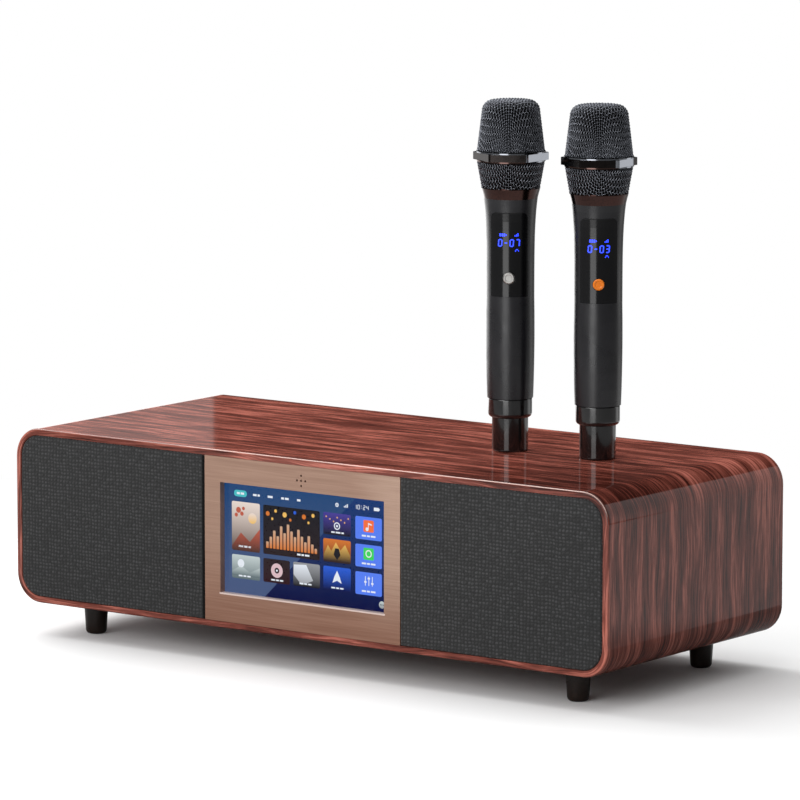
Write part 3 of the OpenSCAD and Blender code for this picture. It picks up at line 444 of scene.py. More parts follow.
def makePanelMetal():
    material, tree, shader, place = startMaterial("rose_bronze", Metallic=0.55, Specular_IOR_Level=0.2)
    lines = useGroup(tree, brushedGroup, Vector=place)
    x, y, z = split(tree, place)
    # Painted shade: the panel turns darker towards the bottom
    height = remap(tree, z, (cabinet["middle"] - 62) * mm, (cabinet["middle"] + 12) * mm)
    # Painted light: the panel is lighter right of the screen
    beside = times(tree, remap(tree, x, 40 * mm, 76 * mm), height)
    low = blend(tree, lines["Tone"], paint(bronze["lowDark"]), paint(bronze["lowLight"]))
    high = blend(tree, lines["Tone"], paint(bronze["highDark"]), paint(bronze["highLight"]))
    # Painted highlight along the bottom edge of the screen opening
    top = bronze["ledgeTop"]
    ledgeHighlight = times(tree, remap(tree, z, (top + 0.1) * mm, top * mm),
                  remap(tree, z, (top - bronze["ledgeTall"]) * mm, (top - bronze["ledgeTall"] + 0.2) * mm),
                  calc(tree, "LESS_THAN", calc(tree, "ABSOLUTE", x), bronze["ledgeHalf"] * mm))
    side = blend(tree, lines["Tone"], paint(bronze["sideDark"]), paint(bronze["sideLight"]))
    colour = blend(tree, beside, blend(tree, height, low, high), side)
    feed(tree, shader, Base_Color=blend(tree, ledgeHighlight, colour, paint(bronze["ledgeHighlight"])),
         Roughness=lines["Roughness"])
    addBump(tree, shader, lines["Height"], 0.012)
    return material


# Dark chrome with a painted reflection on its rims and on the flat on the right
def makeRingMetal():
    material, tree, shader, place = startMaterial("bright_chrome", Metallic=1.0)
    marks = useGroup(tree, surfaceGroup, Vector=place, Size=1.5)
    x, y, z = split(tree, place)
    left, right = mics["left"]["x"] * mm, mics["right"]["x"] * mm
    beyond = calc(tree, "GREATER_THAN", x, (left + right) / 2)
    across = minus(tree, x, plus(tree, left, times(tree, beyond, right - left)))
    # Painted reflection: the flat on the right of each ring is light
    facing = remap(tree, across, ringMetal["flatFrom"] * mm, (ringMetal["flatFrom"] + 0.2) * mm)
    low, high = ((cabinet["top"] + head[key]) * mm for key in ("ringLow", "ringHigh"))
    rim = ringMetal["rim"] * mm
    # Painted reflection: the rims above and below the flats are lighter
    upper = remap(tree, z, high - rim - 0.1 * mm, high - rim)
    lower = remap(tree, z, low + rim, low + rim + 0.1 * mm, 1.0, 0.0)
    colour = blend(tree, marks["Tone"], paint(ringMetal["flat"]), paint(ringMetal["flatWorn"]))
    colour = blend(tree, upper, colour, paint(ringMetal["upper"]))
    colour = blend(tree, lower, colour, paint(ringMetal["lower"]))
    feed(tree, shader, Base_Color=blend(tree, facing, colour, paint(ringMetal["paintedReflection"])),
         Roughness=remap(tree, marks["Polish"], 0.0, 1.0, *ringMetal["roughness"]))
    return material


def makeCloth():
    material, tree, shader, place = startMaterial(
        "grille_fabric", Roughness=0.92, Sheen_Weight=0.15, Sheen_Roughness=0.5,
        Specular_IOR_Level=0.25)
    weave = useGroup(tree, weaveGroup, Vector=place, Pitch_Across=cloth["pitchAcross"],
                     Pitch_Up=cloth["pitchUp"])
    colour = blend(tree, weave["Tone"], paint(cloth["gap"]), paint(cloth["yarn"]))
    # Shade where the left cloth turns in beside the panel
    x = split(tree, place)[0]
    start, full = cloth["shadeFrom"]
    turned = times(tree, remap(tree, x, start * mm, full * mm), calc(tree, "LESS_THAN", x, 0.0))
    feed(tree, shader, Base_Color=blend(tree, turned, colour, paint(cloth["shade"])))
    addBump(tree, shader, weave["Height"], 0.35)
    return material


def makeGlass():
    return startMaterial("screen_glass", Transmission_Weight=1.0, Roughness=0.0, IOR=1.25,
                         Base_Color=(1, 1, 1, 1))[0]


def makeGlow(name, colour, power):
    return startMaterial(name, Roughness=0.5, Base_Color=(0.01, 0.01, 0.01, 1),
                         Emission_Color=paint(colour), Emission_Strength=power)[0]


materials["lacquered_wood"] = makeWood()
materials["rose_bronze"] = makePanelMetal()
materials["grille_fabric"] = makeCloth()
materials["screen_glass"] = makeGlass()
materials["bright_chrome"] = makeRingMetal()
print("materials made")

nodeSlots = {
    "cabinet_shell": "lacquered_wood", "front_baffle": "painted_board",
    "rear_panel": "painted_board", "speaker_partitions": "raw_board", "io_plate": "black_plate",
    "grille_frame": "frame_plastic", "grille_cloth": "grille_fabric",
    "screen_bracket": "frame_plastic", "bass_port": "frame_plastic",
    "front_panel": "rose_bronze", "screen_glass": "screen_glass",
    "screen_module": "display_metal", "woofer_basket": "speaker_steel",
    "tweeter": "speaker_steel", "woofer_magnet": "magnet_ferrite", "woofer_cone": "cone_paper",
    "woofer_surround": "soft_rubber", "power_inlet": "connector_plastic",
    "switch_housing": "connector_plastic", "aux_jack": "connector_plastic",
    "power_rocker": "gloss_black", "usb_socket": "connector_shell",
    "main_board": "circuit_board", "amplifier_board": "circuit_board",
    "power_supply": "circuit_board", "mic_chassis": "circuit_board", "feet": "foot_lacquer",
    "mic_tail": "gloss_black", "mic_tail_ring": "gloss_black", "mic_sleeve": "satin_black",
    "mic_handle": "satin_black", "mic_window": "window_lens", "mic_collar": "rose_chrome",
    "mic_lower_basket": "wire_mesh", "mic_upper_basket": "wire_mesh",
    "mic_head_ring": "bright_chrome", "mic_capsule": "capsule_metal",
    "mic_battery": "battery_wrap", "left_mic_button": "silver_button",
    "right_mic_button": "orange_button",
}
for name, node in cad.items():
    short = name.removeprefix("left_").removeprefix("right_")
    slotName = nodeSlots.get(name) or nodeSlots.get(short)
    if slotName is None:
        print("no look for", name)
        continue
    node.data.materials.clear()
    node.data.materials.append(materials[slotName])
print("CAD nodes painted")


# Pieces

def linkObject(name, data):
    item = bpy.data.objects.new(name, data)
    scene.collection.objects.link(item)
    return item


def linkPiece(name, mesh, body):
    piece = linkObject(name, mesh)
    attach(piece, body)
    return piece


def addPiece(name, body, slotName, vertices, faces, smooth=True, material=None):
    mesh = bpy.data.meshes.new(name)
    mesh.from_pydata([tuple(v) for v in vertices], [], [tuple(f) for f in faces])
    mesh.validate()
    if smooth:
        mesh.shade_smooth()
    mesh.materials.append(material or materials[slotName])
    return linkPiece(name, mesh, body)


def tidyMesh(mesh):
    work = bmesh.new()
    work.from_mesh(mesh)
    bmesh.ops.remove_doubles(work, verts=work.verts, dist=1e-7)
    bmesh.ops.dissolve_degenerate(work, dist=1e-7, edges=work.edges)
    bmesh.ops.recalc_face_normals(work, faces=work.faces)
    work.to_mesh(mesh)
    work.free()


# Outline of a grille cloth, rounded on the cabinet's side and square beside the panel
def outlineOf(span, side, inset, cornerSteps=14, edgeSteps=60):
    low, high = (span[0] + inset, span[1] - inset)
    half = cloth["halfHeight"] - inset
    corner = cloth["corner"] - inset
    outer, inner, sign = (high, low, 1) if side == "right" else (low, high, -1)
    core = outer - sign * corner
    quarter = [math.pi / 2 * i / cornerSteps for i in range(cornerSteps + 1)]
    points = [(core + sign * corner * math.sin(a), half - corner + corner * math.cos(a)) for a in quarter]
    points += [(core + sign * corner * math.cos(a), -half + corner - corner * math.sin(a)) for a in quarter]
    points += [(core + (inner - core) * i / edgeSteps, -half) for i in range(1, edgeSteps)]
    points += [(inner, -half + 4 * half * i / edgeSteps) for i in range(edgeSteps // 2 + 1)]
    points += [(inner + (core - inner) * i / edgeSteps, half) for i in range(1, edgeSteps)]
    return points if side == "right" else points[::-1]


# Closed sheet drawn over a grille frame: from the face over its rounded edge and back along the inside
def makeGrilleCloth(side):
    span = cloth["spans"][side]
    front, back = cabinet["front"], cabinet["front"] + cloth["depth"]
    bend, thick, lip = cloth["edgeRound"], cloth["thickness"], 0.3
    rings = [(bend * (1 - math.sin(a)), front + bend * (1 - math.cos(a)))
             for a in (math.pi / 2 * i / 4 for i in range(5))]
    rings += [(0.0, front + bend + (back - front - bend) * i / 4) for i in range(1, 5)]
    rings += [(thick, back), (thick, front + thick + lip), (thick + lip, front + thick)]
    vertices, faces = [], []
    for inset, y in rings:
        outline = outlineOf(span, side, inset)
        vertices += [(x * mm, y * mm, (z + cabinet["middle"]) * mm) for x, z in outline]
    count = len(outline)
    for k in range(len(rings) - 1):
        for i in range(count):
            j = (i + 1) % count
            faces.append((k * count + i, k * count + j, (k + 1) * count + j, (k + 1) * count + i))
    faces.append(tuple(reversed(range(count))))
    faces.append(tuple(range(len(vertices) - count, len(vertices))))
    piece = addPiece(f"{side}_grille_fabric", "cabinet", "grille_fabric", vertices, faces)
    tidyMesh(piece.data)
    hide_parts(f"{side}_grille_cloth")


for side in ("left", "right"):
    makeGrilleCloth(side)
print("grille cloths made")


# Woven wire heads: a flat square weave is laid over the head's profile by its length from the top

def nodeTree(name, inputs):
    tree = bpy.data.node_groups.new(name, "GeometryNodeTree")
    tree.interface.new_socket("Geometry", in_out="INPUT", socket_type="NodeSocketGeometry")
    for label, kind in inputs:
        tree.interface.new_socket(label, in_out="INPUT", socket_type=kind)
    tree.interface.new_socket("Geometry", in_out="OUTPUT", socket_type="NodeSocketGeometry")
    return tree, tree.nodes.new("NodeGroupInput").outputs, tree.nodes.new("NodeGroupOutput").inputs


def makeWeaveTree():
    tree, source, target = nodeTree("Wire weave", [
        ("Pitch", number), ("Wire Radius", number), ("Crimp", number), ("Turn", number),
        ("Start", number), ("Reach", number), ("Steps Per Pitch", "NodeSocketInt"),
        ("Material", "NodeSocketMaterial"),
    ])
    pitch, reach = source["Pitch"], source["Reach"]
    wires = calc(tree, "CEIL", over(tree, reach, pitch))
    half = times(tree, wires, pitch)
    wireCount = plus(tree, times(tree, wires, 2.0), 1.0)
    stepCount = plus(tree, times(tree, wires, 2.0, source["Steps Per Pitch"]), 1.0)
    step = over(tree, pitch, source["Steps Per Pitch"])
    wire = put(tree, "GeometryNodeMeshLine", {
        "Count": stepCount, "Start Location": join(tree, times(tree, half, -1.0), 0.0, 0.0),
        "Offset": join(tree, step, 0.0, 0.0)})
    rail = put(tree, "GeometryNodeMeshLine", {
        "Count": wireCount, "Start Location": join(tree, 0.0, times(tree, half, -1.0), 0.0),
        "Offset": join(tree, 0.0, pitch, 0.0)})
    placed = put(tree, "GeometryNodeInstanceOnPoints",
                 {"Points": rail.outputs[0], "Instance": wire.outputs[0]})
    warp = made(tree, "GeometryNodeRealizeInstances", {0: placed.outputs[0]})
    both = tree.nodes.new("GeometryNodeJoinGeometry")
    for turn, sign in ((0.0, 1.0), (math.pi / 2, -1.0)):
        family = made(tree, "GeometryNodeTransform", {"Geometry": warp, "Rotation": (0.0, 0.0, turn)})
        family = made(tree, "GeometryNodeStoreNamedAttribute", {0: family, "Name": "side", "Value": sign},
                      data_type="FLOAT", domain="POINT")
        tree.links.new(family, both.inputs[0])
    x, y, z = split(tree, made(tree, "GeometryNodeInputPosition"))
    outward = calc(tree, "SQRT", plus(tree, times(tree, x, x), times(tree, y, y)))
    around = calc(tree, "ARCTAN2", y, x)
    # Drawn into a cup, the weave shears and grows longer along its diagonals
    diagonal = calc(tree, "POWER", calc(tree, "SINE", times(tree, around, 2.0)), 2.0)
    low, high = (reached * mm for reached in basket["drawn"])
    shear = made(tree, "ShaderNodeMapRange", {0: outward, 1: low, 2: high, 3: 0.0, 4: basket["shear"]})
    outward = times(tree, outward, plus(tree, 1.0, times(tree, diagonal, shear)))
    after = made(tree, "FunctionNodeCompare", {"A": outward, "B": reach}, operation="GREATER_THAN")
    before = made(tree, "FunctionNodeCompare", {"A": outward, "B": source["Start"]}, operation="LESS_THAN")
    outside = made(tree, "FunctionNodeBooleanMath", {0: after, 1: before}, operation="OR")
    side = made(tree, "GeometryNodeInputNamedAttribute", {"Name": "side"}, data_type="FLOAT")
    turnRate = over(tree, math.pi, pitch)
    lift = times(tree, calc(tree, "COSINE", times(tree, x, turnRate)),
                 calc(tree, "COSINE", times(tree, y, turnRate)), side, source["Crimp"])
    profile = made(tree, "GeometryNodeMeshToCurve", {0: source["Geometry"]})
    sample = put(tree, "GeometryNodeSampleCurve",
                 {"Curves": profile, "Length": minus(tree, outward, source["Start"])},
                 mode="LENGTH", data_type="FLOAT")
    sample.use_all_curves = True
    at = split(tree, sample.outputs["Position"])
    along = split(tree, sample.outputs["Tangent"])
    radius = plus(tree, at[0], times(tree, lift, times(tree, along[2], -1.0)))
    height = plus(tree, at[2], times(tree, lift, along[0]))
    angle = plus(tree, around, source["Turn"])
    kept = made(tree, "GeometryNodeDeleteGeometry",
                {"Geometry": both.outputs[0], "Selection": outside}, domain="POINT")
    shaped = made(tree, "GeometryNodeSetPosition", {
        "Geometry": kept,
        "Position": join(tree, times(tree, radius, calc(tree, "COSINE", angle)),
                         times(tree, radius, calc(tree, "SINE", angle)), height)})
    lines = made(tree, "GeometryNodeMeshToCurve", {0: shaped})
    ring = made(tree, "GeometryNodeCurvePrimitiveCircle", {"Resolution": 5, "Radius": source["Wire Radius"]})
    solid = made(tree, "GeometryNodeCurveToMesh",
                 {"Curve": lines, "Profile Curve": ring, "Fill Caps": True})
    smooth = made(tree, "GeometryNodeSetShadeSmooth", {0: solid})
    painted = made(tree, "GeometryNodeSetMaterial", {"Geometry": smooth, "Material": source["Material"]})
    tree.links.new(painted, target[0])
    return tree


# Runs a node tree on a holder of points and edges, and gives its result as a plain mesh
def bake(name, tree, points, edges, values):
    mesh = bpy.data.meshes.new("holder")
    mesh.from_pydata(points, edges, [])
    holder = linkObject("holder", mesh)
    modifier = holder.modifiers.new("bake", "NODES")
    modifier.node_group = tree
    for item in tree.interface.items_tree:
        if item.item_type == "SOCKET" and item.in_out == "INPUT" and item.name in values:
            modifier[item.identifier] = values[item.name]
    bpy.context.view_layer.update()
    mesh = bpy.data.meshes.new_from_object(
        holder.evaluated_get(bpy.context.evaluated_depsgraph_get()))
    mesh.name = name
    bpy.data.objects.remove(holder)
    return mesh


def headProfile(inset):
    topZ, topR, bend = head["top"] - inset, head["topR"] - inset, head["bend"] - inset
    points = [(r, topZ) for r in np.linspace(0.0, topR - bend, 8)]
    points += [(topR - bend + bend * math.sin(a), topZ - bend + bend * math.cos(a))
               for a in np.linspace(0, math.pi / 2, 13)[1:]]
    foot = (head["ringR"] - inset, head["ringHigh"] + 0.2)
    points += [tuple(np.array(points[-1]) * (1 - t) + np.array(foot) * t)
               for t in np.linspace(0, 1, 10)[1:]]
    return points


def lowerProfile(inset):
    a = (head["collarR"] - inset, head["collarTop"] + 0.2)
    b = (head["ringR"] - inset, head["ringLow"] - 0.2)
    return [tuple(np.array(a) * (1 - t) + np.array(b) * t) for t in np.linspace(0, 1, 8)]


def lengthOf(points):
    return sum(math.dist(a, b) for a, b in zip(points, points[1:]))


def placeOnMic(mesh, mic):
    turn = Matrix.Rotation(math.radians(mic["turn"]), 4, "Z")
    mesh.transform(Matrix.Translation((mic["x"] * mm, mic["y"] * mm, cabinet["top"] * mm)) @ turn)


wireTree = makeWeaveTree()


def makeBasket(sideName, part):
    mic = mics[sideName]
    inset = basket["wire"] + basket["crimp"] + 0.02
    points = headProfile(inset) if part == "upper" else lowerProfile(inset)
    start = 0.0 if part == "upper" else head["collarR"] - inset
    name = f"{sideName}_mic_{part}_wires"
    edges = [(i, i + 1) for i in range(len(points) - 1)]
    mesh = bake(name, wireTree, [(r * mm, 0.0, z * mm) for r, z in points], edges, {
        "Pitch": basket["pitch"] * mm, "Wire Radius": basket["wire"] * mm,
        "Crimp": basket["crimp"] * mm, "Turn": math.radians(basket["turn"]),
        "Start": start * mm, "Reach": (start + lengthOf(points)) * mm, "Steps Per Pitch": 3,
        "Material": materials["wire_mesh"]})
    placeOnMic(mesh, mic)
    piece = linkPiece(name, mesh, f"{sideName}_mic_head")
    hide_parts(f"{sideName}_mic_{part}_basket")
    print(name, len(mesh.polygons), "faces")


def lathe(points, count=64):
    vertices, faces = [], []
    rows = len(points)
    for i in range(count):
        a = 2 * math.pi * i / count
        vertices += [(r * math.cos(a) * mm, r * math.sin(a) * mm, z * mm) for r, z in points]
    for i in range(count):
        j = (i + 1) % count
        for k in range(rows - 1):
            faces.append((i * rows + k, i * rows + k + 1, j * rows + k + 1, j * rows + k))
    return vertices, faces


def makeFoam(sideName):
    outer = [(head["collarR"] - foam["gap"], head["collarTop"] + 0.4)]
    outer += [(head["ringR"] - foam["gap"], head[edge]) for edge in ("ringLow", "ringHigh")]
    outer += list(reversed(headProfile(foam["gap"])))[1:]
    inner = [(max(r - foam["thickness"], 0.0), min(z, head["top"] - foam["gap"] - foam["thickness"]))
             for r, z in reversed(outer)]
    vertices, faces = lathe(outer + inner + outer[:1])
    piece = addPiece(f"{sideName}_mic_foam", f"{sideName}_mic_head", None, vertices, faces,
                     material=materials["mic_foam"])
    tidyMesh(piece.data)
    placeOnMic(piece.data, mics[sideName])


for side in mics:
    makeBasket(side, "upper")
    makeBasket(side, "lower")
    makeFoam(side)
print("wire heads made")


# Flat glowing marks

def toMesh(polygons, lift):
    vertices, faces = [], []
    for outline in polygons:
        base = len(vertices)
        vertices += [lift(x, y) for x, y in outline]
        faces.append(tuple(range(base, base + len(outline))))
    return vertices, faces


def box(x, y, w, h):
    return [(x, y), (x + w, y), (x + w, y + h), (x, y + h)]


def surfaceOf(node):
    return BVHTree.FromPolygons([v.co.copy() for v in node.data.vertices],
                                [tuple(p.vertices) for p in node.data.polygons])


segments = {
    "0": "abcdef", "1": "bc", "2": "abged", "3": "abgcd", "4": "fgbc", "5": "afgcd",
    "6": "afgedc", "7": "abc", "8": "abcdefg", "9": "abcdfg", "-": "g",
}


def digit(character, x, y, w, h, t, slant=0.06):
    parts = {
        "a": (t * 0.9, h - t, w - 1.8 * t, t), "g": (t * 0.9, h / 2 - t / 2, w - 1.8 * t, t),
        "d": (t * 0.9, 0, w - 1.8 * t, t),
        "f": (0, h / 2 + 0.15 * t, t, h / 2 - 0.9 * t), "b": (w - t, h / 2 + 0.15 * t, t, h / 2 - 0.9 * t),
        "e": (0, 0.75 * t, t, h / 2 - 0.9 * t), "c": (w - t, 0.75 * t, t, h / 2 - 0.9 * t),
    }
    shapes = []
    for key in segments[character]:
        px, py, pw, ph = parts[key]
        shapes.append([(x + px + a + slant * (py + b), y + py + b)
                       for a, b in ((0, 0), (pw, 0), (pw, ph), (0, ph))])
    return shapes


def displayMarks(text):
    shapes = []
    cell, w, h, t = 4.1, 3.0, 5.4, 0.72
    x = -cell * len(text) / 2 + 0.4
    for character in text:
        shapes += digit(character, x, -2.9, w, h, t)
        x += cell
    for i in range(3):
        shapes.append(box(-6.6 + i * 1.5, 4.4, 1.05, 2.0))
    shapes.append(box(-2.0, 4.9, 0.5, 1.0))
    for i in range(3):
        shapes.append(box(4.0 + i * 1.0, 4.4, 0.6, 0.8 + 0.7 * i))
    shapes.append(box(4.3, -6.2, 2.6, 0.7))
    shapes.append(box(4.9, -5.2, 1.4, 0.6))
    return shapes


ledGlow = makeGlow("led_blue", display["colour"], display["power"])


def makeDigits(sideName):
    mic = mics[sideName]
    window = surfaceOf(cad[f"{sideName}_mic_window"])
    turn = math.radians(mic["turn"])
    right = Vector((math.cos(turn), math.sin(turn), 0.0))
    outward = Vector((math.sin(turn), -math.cos(turn), 0.0))
    axis = Vector((mic["x"], mic["y"], cabinet["top"])) * mm

    def lift(x, y):
        start = axis + (right * x + outward * 60 + Vector((0, 0, display["height"] + y))) * mm
        return window.ray_cast(start, -outward)[0] + outward * 0.05 * mm

    vertices, faces = toMesh(displayMarks(mic["digits"]), lift)
    addPiece(f"{sideName}_mic_digits", f"{sideName}_mic_grip", "window_lens", vertices,
             faces, smooth=False, material=ledGlow)


for side in mics:
    makeDigits(side)
print("displays made")


# Screws of the rear panel and connector plate

def makeScrewTree():
    tree, source, target = nodeTree("Screws", [
        ("Head Radius", number), ("Head Height", number), ("Recess Depth", number),
        ("Seed", "NodeSocketInt"), ("Material", "NodeSocketMaterial"),
    ])
    radius, height = source["Head Radius"], source["Head Height"]
    headMesh = made(tree, "GeometryNodeMeshCone", {
        "Vertices": 28, "Side Segments": 2, "Radius Top": times(tree, radius, 0.72),
        "Radius Bottom": radius, "Depth": height}, fill_type="NGON")
    slots = []
    for turn in (0.0, math.pi / 2):
        blade = made(tree, "GeometryNodeMeshCube", {"Size": join(
            tree, times(tree, radius, 1.05), times(tree, radius, 0.24),
            times(tree, source["Recess Depth"], 2.0))})
        slots.append(made(tree, "GeometryNodeTransform", {
            "Geometry": blade, "Translation": join(tree, 0.0, 0.0, height),
            "Rotation": (0.0, 0.0, turn)}))
    cut = put(tree, "GeometryNodeMeshBoolean", {"Mesh 1": headMesh}, operation="DIFFERENCE", solver="EXACT")
    for slot in slots:
        tree.links.new(slot, cut.inputs["Mesh 2"])
    points = made(tree, "GeometryNodeMeshToPoints", {"Mesh": source["Geometry"]})
    placed = made(tree, "GeometryNodeInstanceOnPoints", {
        "Points": points, "Instance": cut.outputs[0], "Rotation": (-math.pi / 2, 0.0, 0.0)})
    roll = put(tree, "FunctionNodeRandomValue", {2: 0.0, 3: math.pi, "Seed": source["Seed"]},
               data_type="FLOAT").outputs[1]
    rolled = made(tree, "GeometryNodeRotateInstances", {
        "Instances": placed, "Rotation": join(tree, 0.0, 0.0, roll), "Local Space": True})
    real = made(tree, "GeometryNodeRealizeInstances", {0: rolled})
    painted = made(tree, "GeometryNodeSetMaterial", {"Geometry": real, "Material": source["Material"]})
    tree.links.new(painted, target[0])
    return tree


screwTree = makeScrewTree()
screws = {
    "io_plate_screws": {"places": [(x, z) for x in (-80, 80) for z in (-25, 25)], "y": 106.0,
                        "radius": 2.9, "height": 1.3, "depth": 0.9, "seed": 3},
    "rear_panel_screws": {"places": [(x, z) for x in (-238, -118, 0, 118, 238) for z in (-51, 51)],
                          "y": 104.0, "radius": 3.4, "height": 1.5, "depth": 1.0, "seed": 8},
}


def makeScrews(name):
    look = screws[name]
    places = [(x * mm, look["y"] * mm, (cabinet["middle"] + z) * mm) for x, z in look["places"]]
    mesh = bake(name, screwTree, places, [], {
        "Head Radius": look["radius"] * mm, "Head Height": look["height"] * mm,
        "Recess Depth": look["depth"] * mm, "Seed": look["seed"], "Material": materials["zinc_screw"]})
    tidyMesh(mesh)
    print(name, len(mesh.polygons), "faces")
    linkPiece(name, mesh, "cabinet")


for name in screws:
    makeScrews(name)


# White print beside the power switch and on its rocker, in strokes on a grid two by four
strokes = {
    "O": [((0, 0), (0, 4), (2, 4), (2, 0), (0, 0))], "N": [((0, 0), (0, 4), (2, 0), (2, 4))],
    "F": [((0, 0), (0, 4), (2, 4)), ((0, 2), (1.6, 2))], "I": [((1, 0), (1, 4))],
}
rearMarks = {
    "switch_marks": {"body": "cabinet", "words": [("ON", 22.0, 17.4, 0.62), ("OFF", 22.0, -20.0, 0.62)],
                     "on": "io_plate"},
    "rocker_marks": {"body": "power_rocker", "words": [("I", 22.0, 3.2, 0.8), ("O", 22.0, -6.2, 0.8)],
                     "on": "power_rocker"},
}


def strokeShapes(text, x, y, size, weight=0.42):
    shapes = []
    left = x + (3.0 * len(text) - 1.0) * size / 2
    for i, letter in enumerate(text):
        for line in strokes[letter]:
            for (ax, ay), (bx, by) in zip(line, line[1:]):
                a = Vector((left - (3.0 * i + ax) * size, y + ay * size))
                b = Vector((left - (3.0 * i + bx) * size, y + by * size))
                along = (b - a).normalized() * weight / 2
                out = Vector((-along.y, along.x))
                shapes.append([tuple(a - along + out), tuple(a - along - out),
                               tuple(b + along - out), tuple(b + along + out)])
    return shapes


def makeRearMarks(name):
    look = rearMarks[name]
    base = surfaceOf(cad[look["on"]])

    def lift(x, z):
        start = Vector((x, 130.0, cabinet["middle"] + z)) * mm
        return base.ray_cast(start, Vector((0, -1, 0)))[0] + Vector((0, 0.04, 0)) * mm

    vertices, faces = toMesh([shape for word in look["words"] for shape in strokeShapes(*word)], lift)
    addPiece(name, look["body"], None, vertices, faces, smooth=False, material=materials["white_print"])


for name in rearMarks:
    makeRearMarks(name)
print("rear details made")


# Generic home page of the touch screen: flat glowing shapes in layers inside the cover glass
screenPaint = {
    # The veil and haze colours paint a band of glare across the picture
    "night": (2, 8, 44), "deep": (1, 6, 62), "sky": (6, 52, 112), "paintedGlare": (74, 90, 128),
    "pale": (232, 238, 246), "teal": (72, 190, 196), "tile": (86, 128, 246), "green": (60, 214, 92),
    "orange": (246, 112, 60), "gold": (240, 190, 96), "amber": (214, 118, 44), "dusk": (34, 20, 22),
    "sand": (206, 168, 138), "cream": (236, 220, 210), "leaf": (190, 92, 70), "brown": (70, 46, 38),
    "mist": (196, 208, 208), "stone": (92, 108, 112), "rose": (222, 190, 196), "wine": (44, 14, 20),
    # The black colour paints a shadow line along the top of the picture
    "haze": (20, 66, 116), "black": (2, 2, 4),
    "ink": (12, 12, 20), "violet": (70, 60, 150), "blue": (36, 92, 214), "grey": (150, 152, 156),
}


def roundBox(x, y, w, h, r=1.2, steps=4):
    points = []
    for cx, cy, start in ((x + w - r, y + h - r, 0), (x + r, y + h - r, 90),
                          (x + r, y + r, 180), (x + w - r, y + r, 270)):
        for i in range(steps + 1):
            a = math.radians(start + 90 * i / steps)
            points.append((cx + r * math.cos(a), cy + r * math.sin(a)))
    return points


def disc(x, y, r, steps=18):
    return [(x + r * math.cos(2 * math.pi * i / steps), y + r * math.sin(2 * math.pi * i / steps))
            for i in range(steps)]


def ringOf(x, y, r, t, steps=18):
    shapes = []
    for i in range(steps):
        a, b = 2 * math.pi * i / steps, 2 * math.pi * (i + 1) / steps
        shapes.append([(x + q * math.cos(c), y + q * math.sin(c))
                       for q, c in ((r - t, a), (r, a), (r, b), (r - t, b))])
    return shapes


def fade(outline, low, high):
    ys = [y for x, y in outline]
    y0, y1 = min(ys), max(ys)
    a, b = np.array(toLinear(screenPaint[low])), np.array(toLinear(screenPaint[high]))
    return [tuple(a + (b - a) * (y - y0) / (y1 - y0)) for x, y in outline]


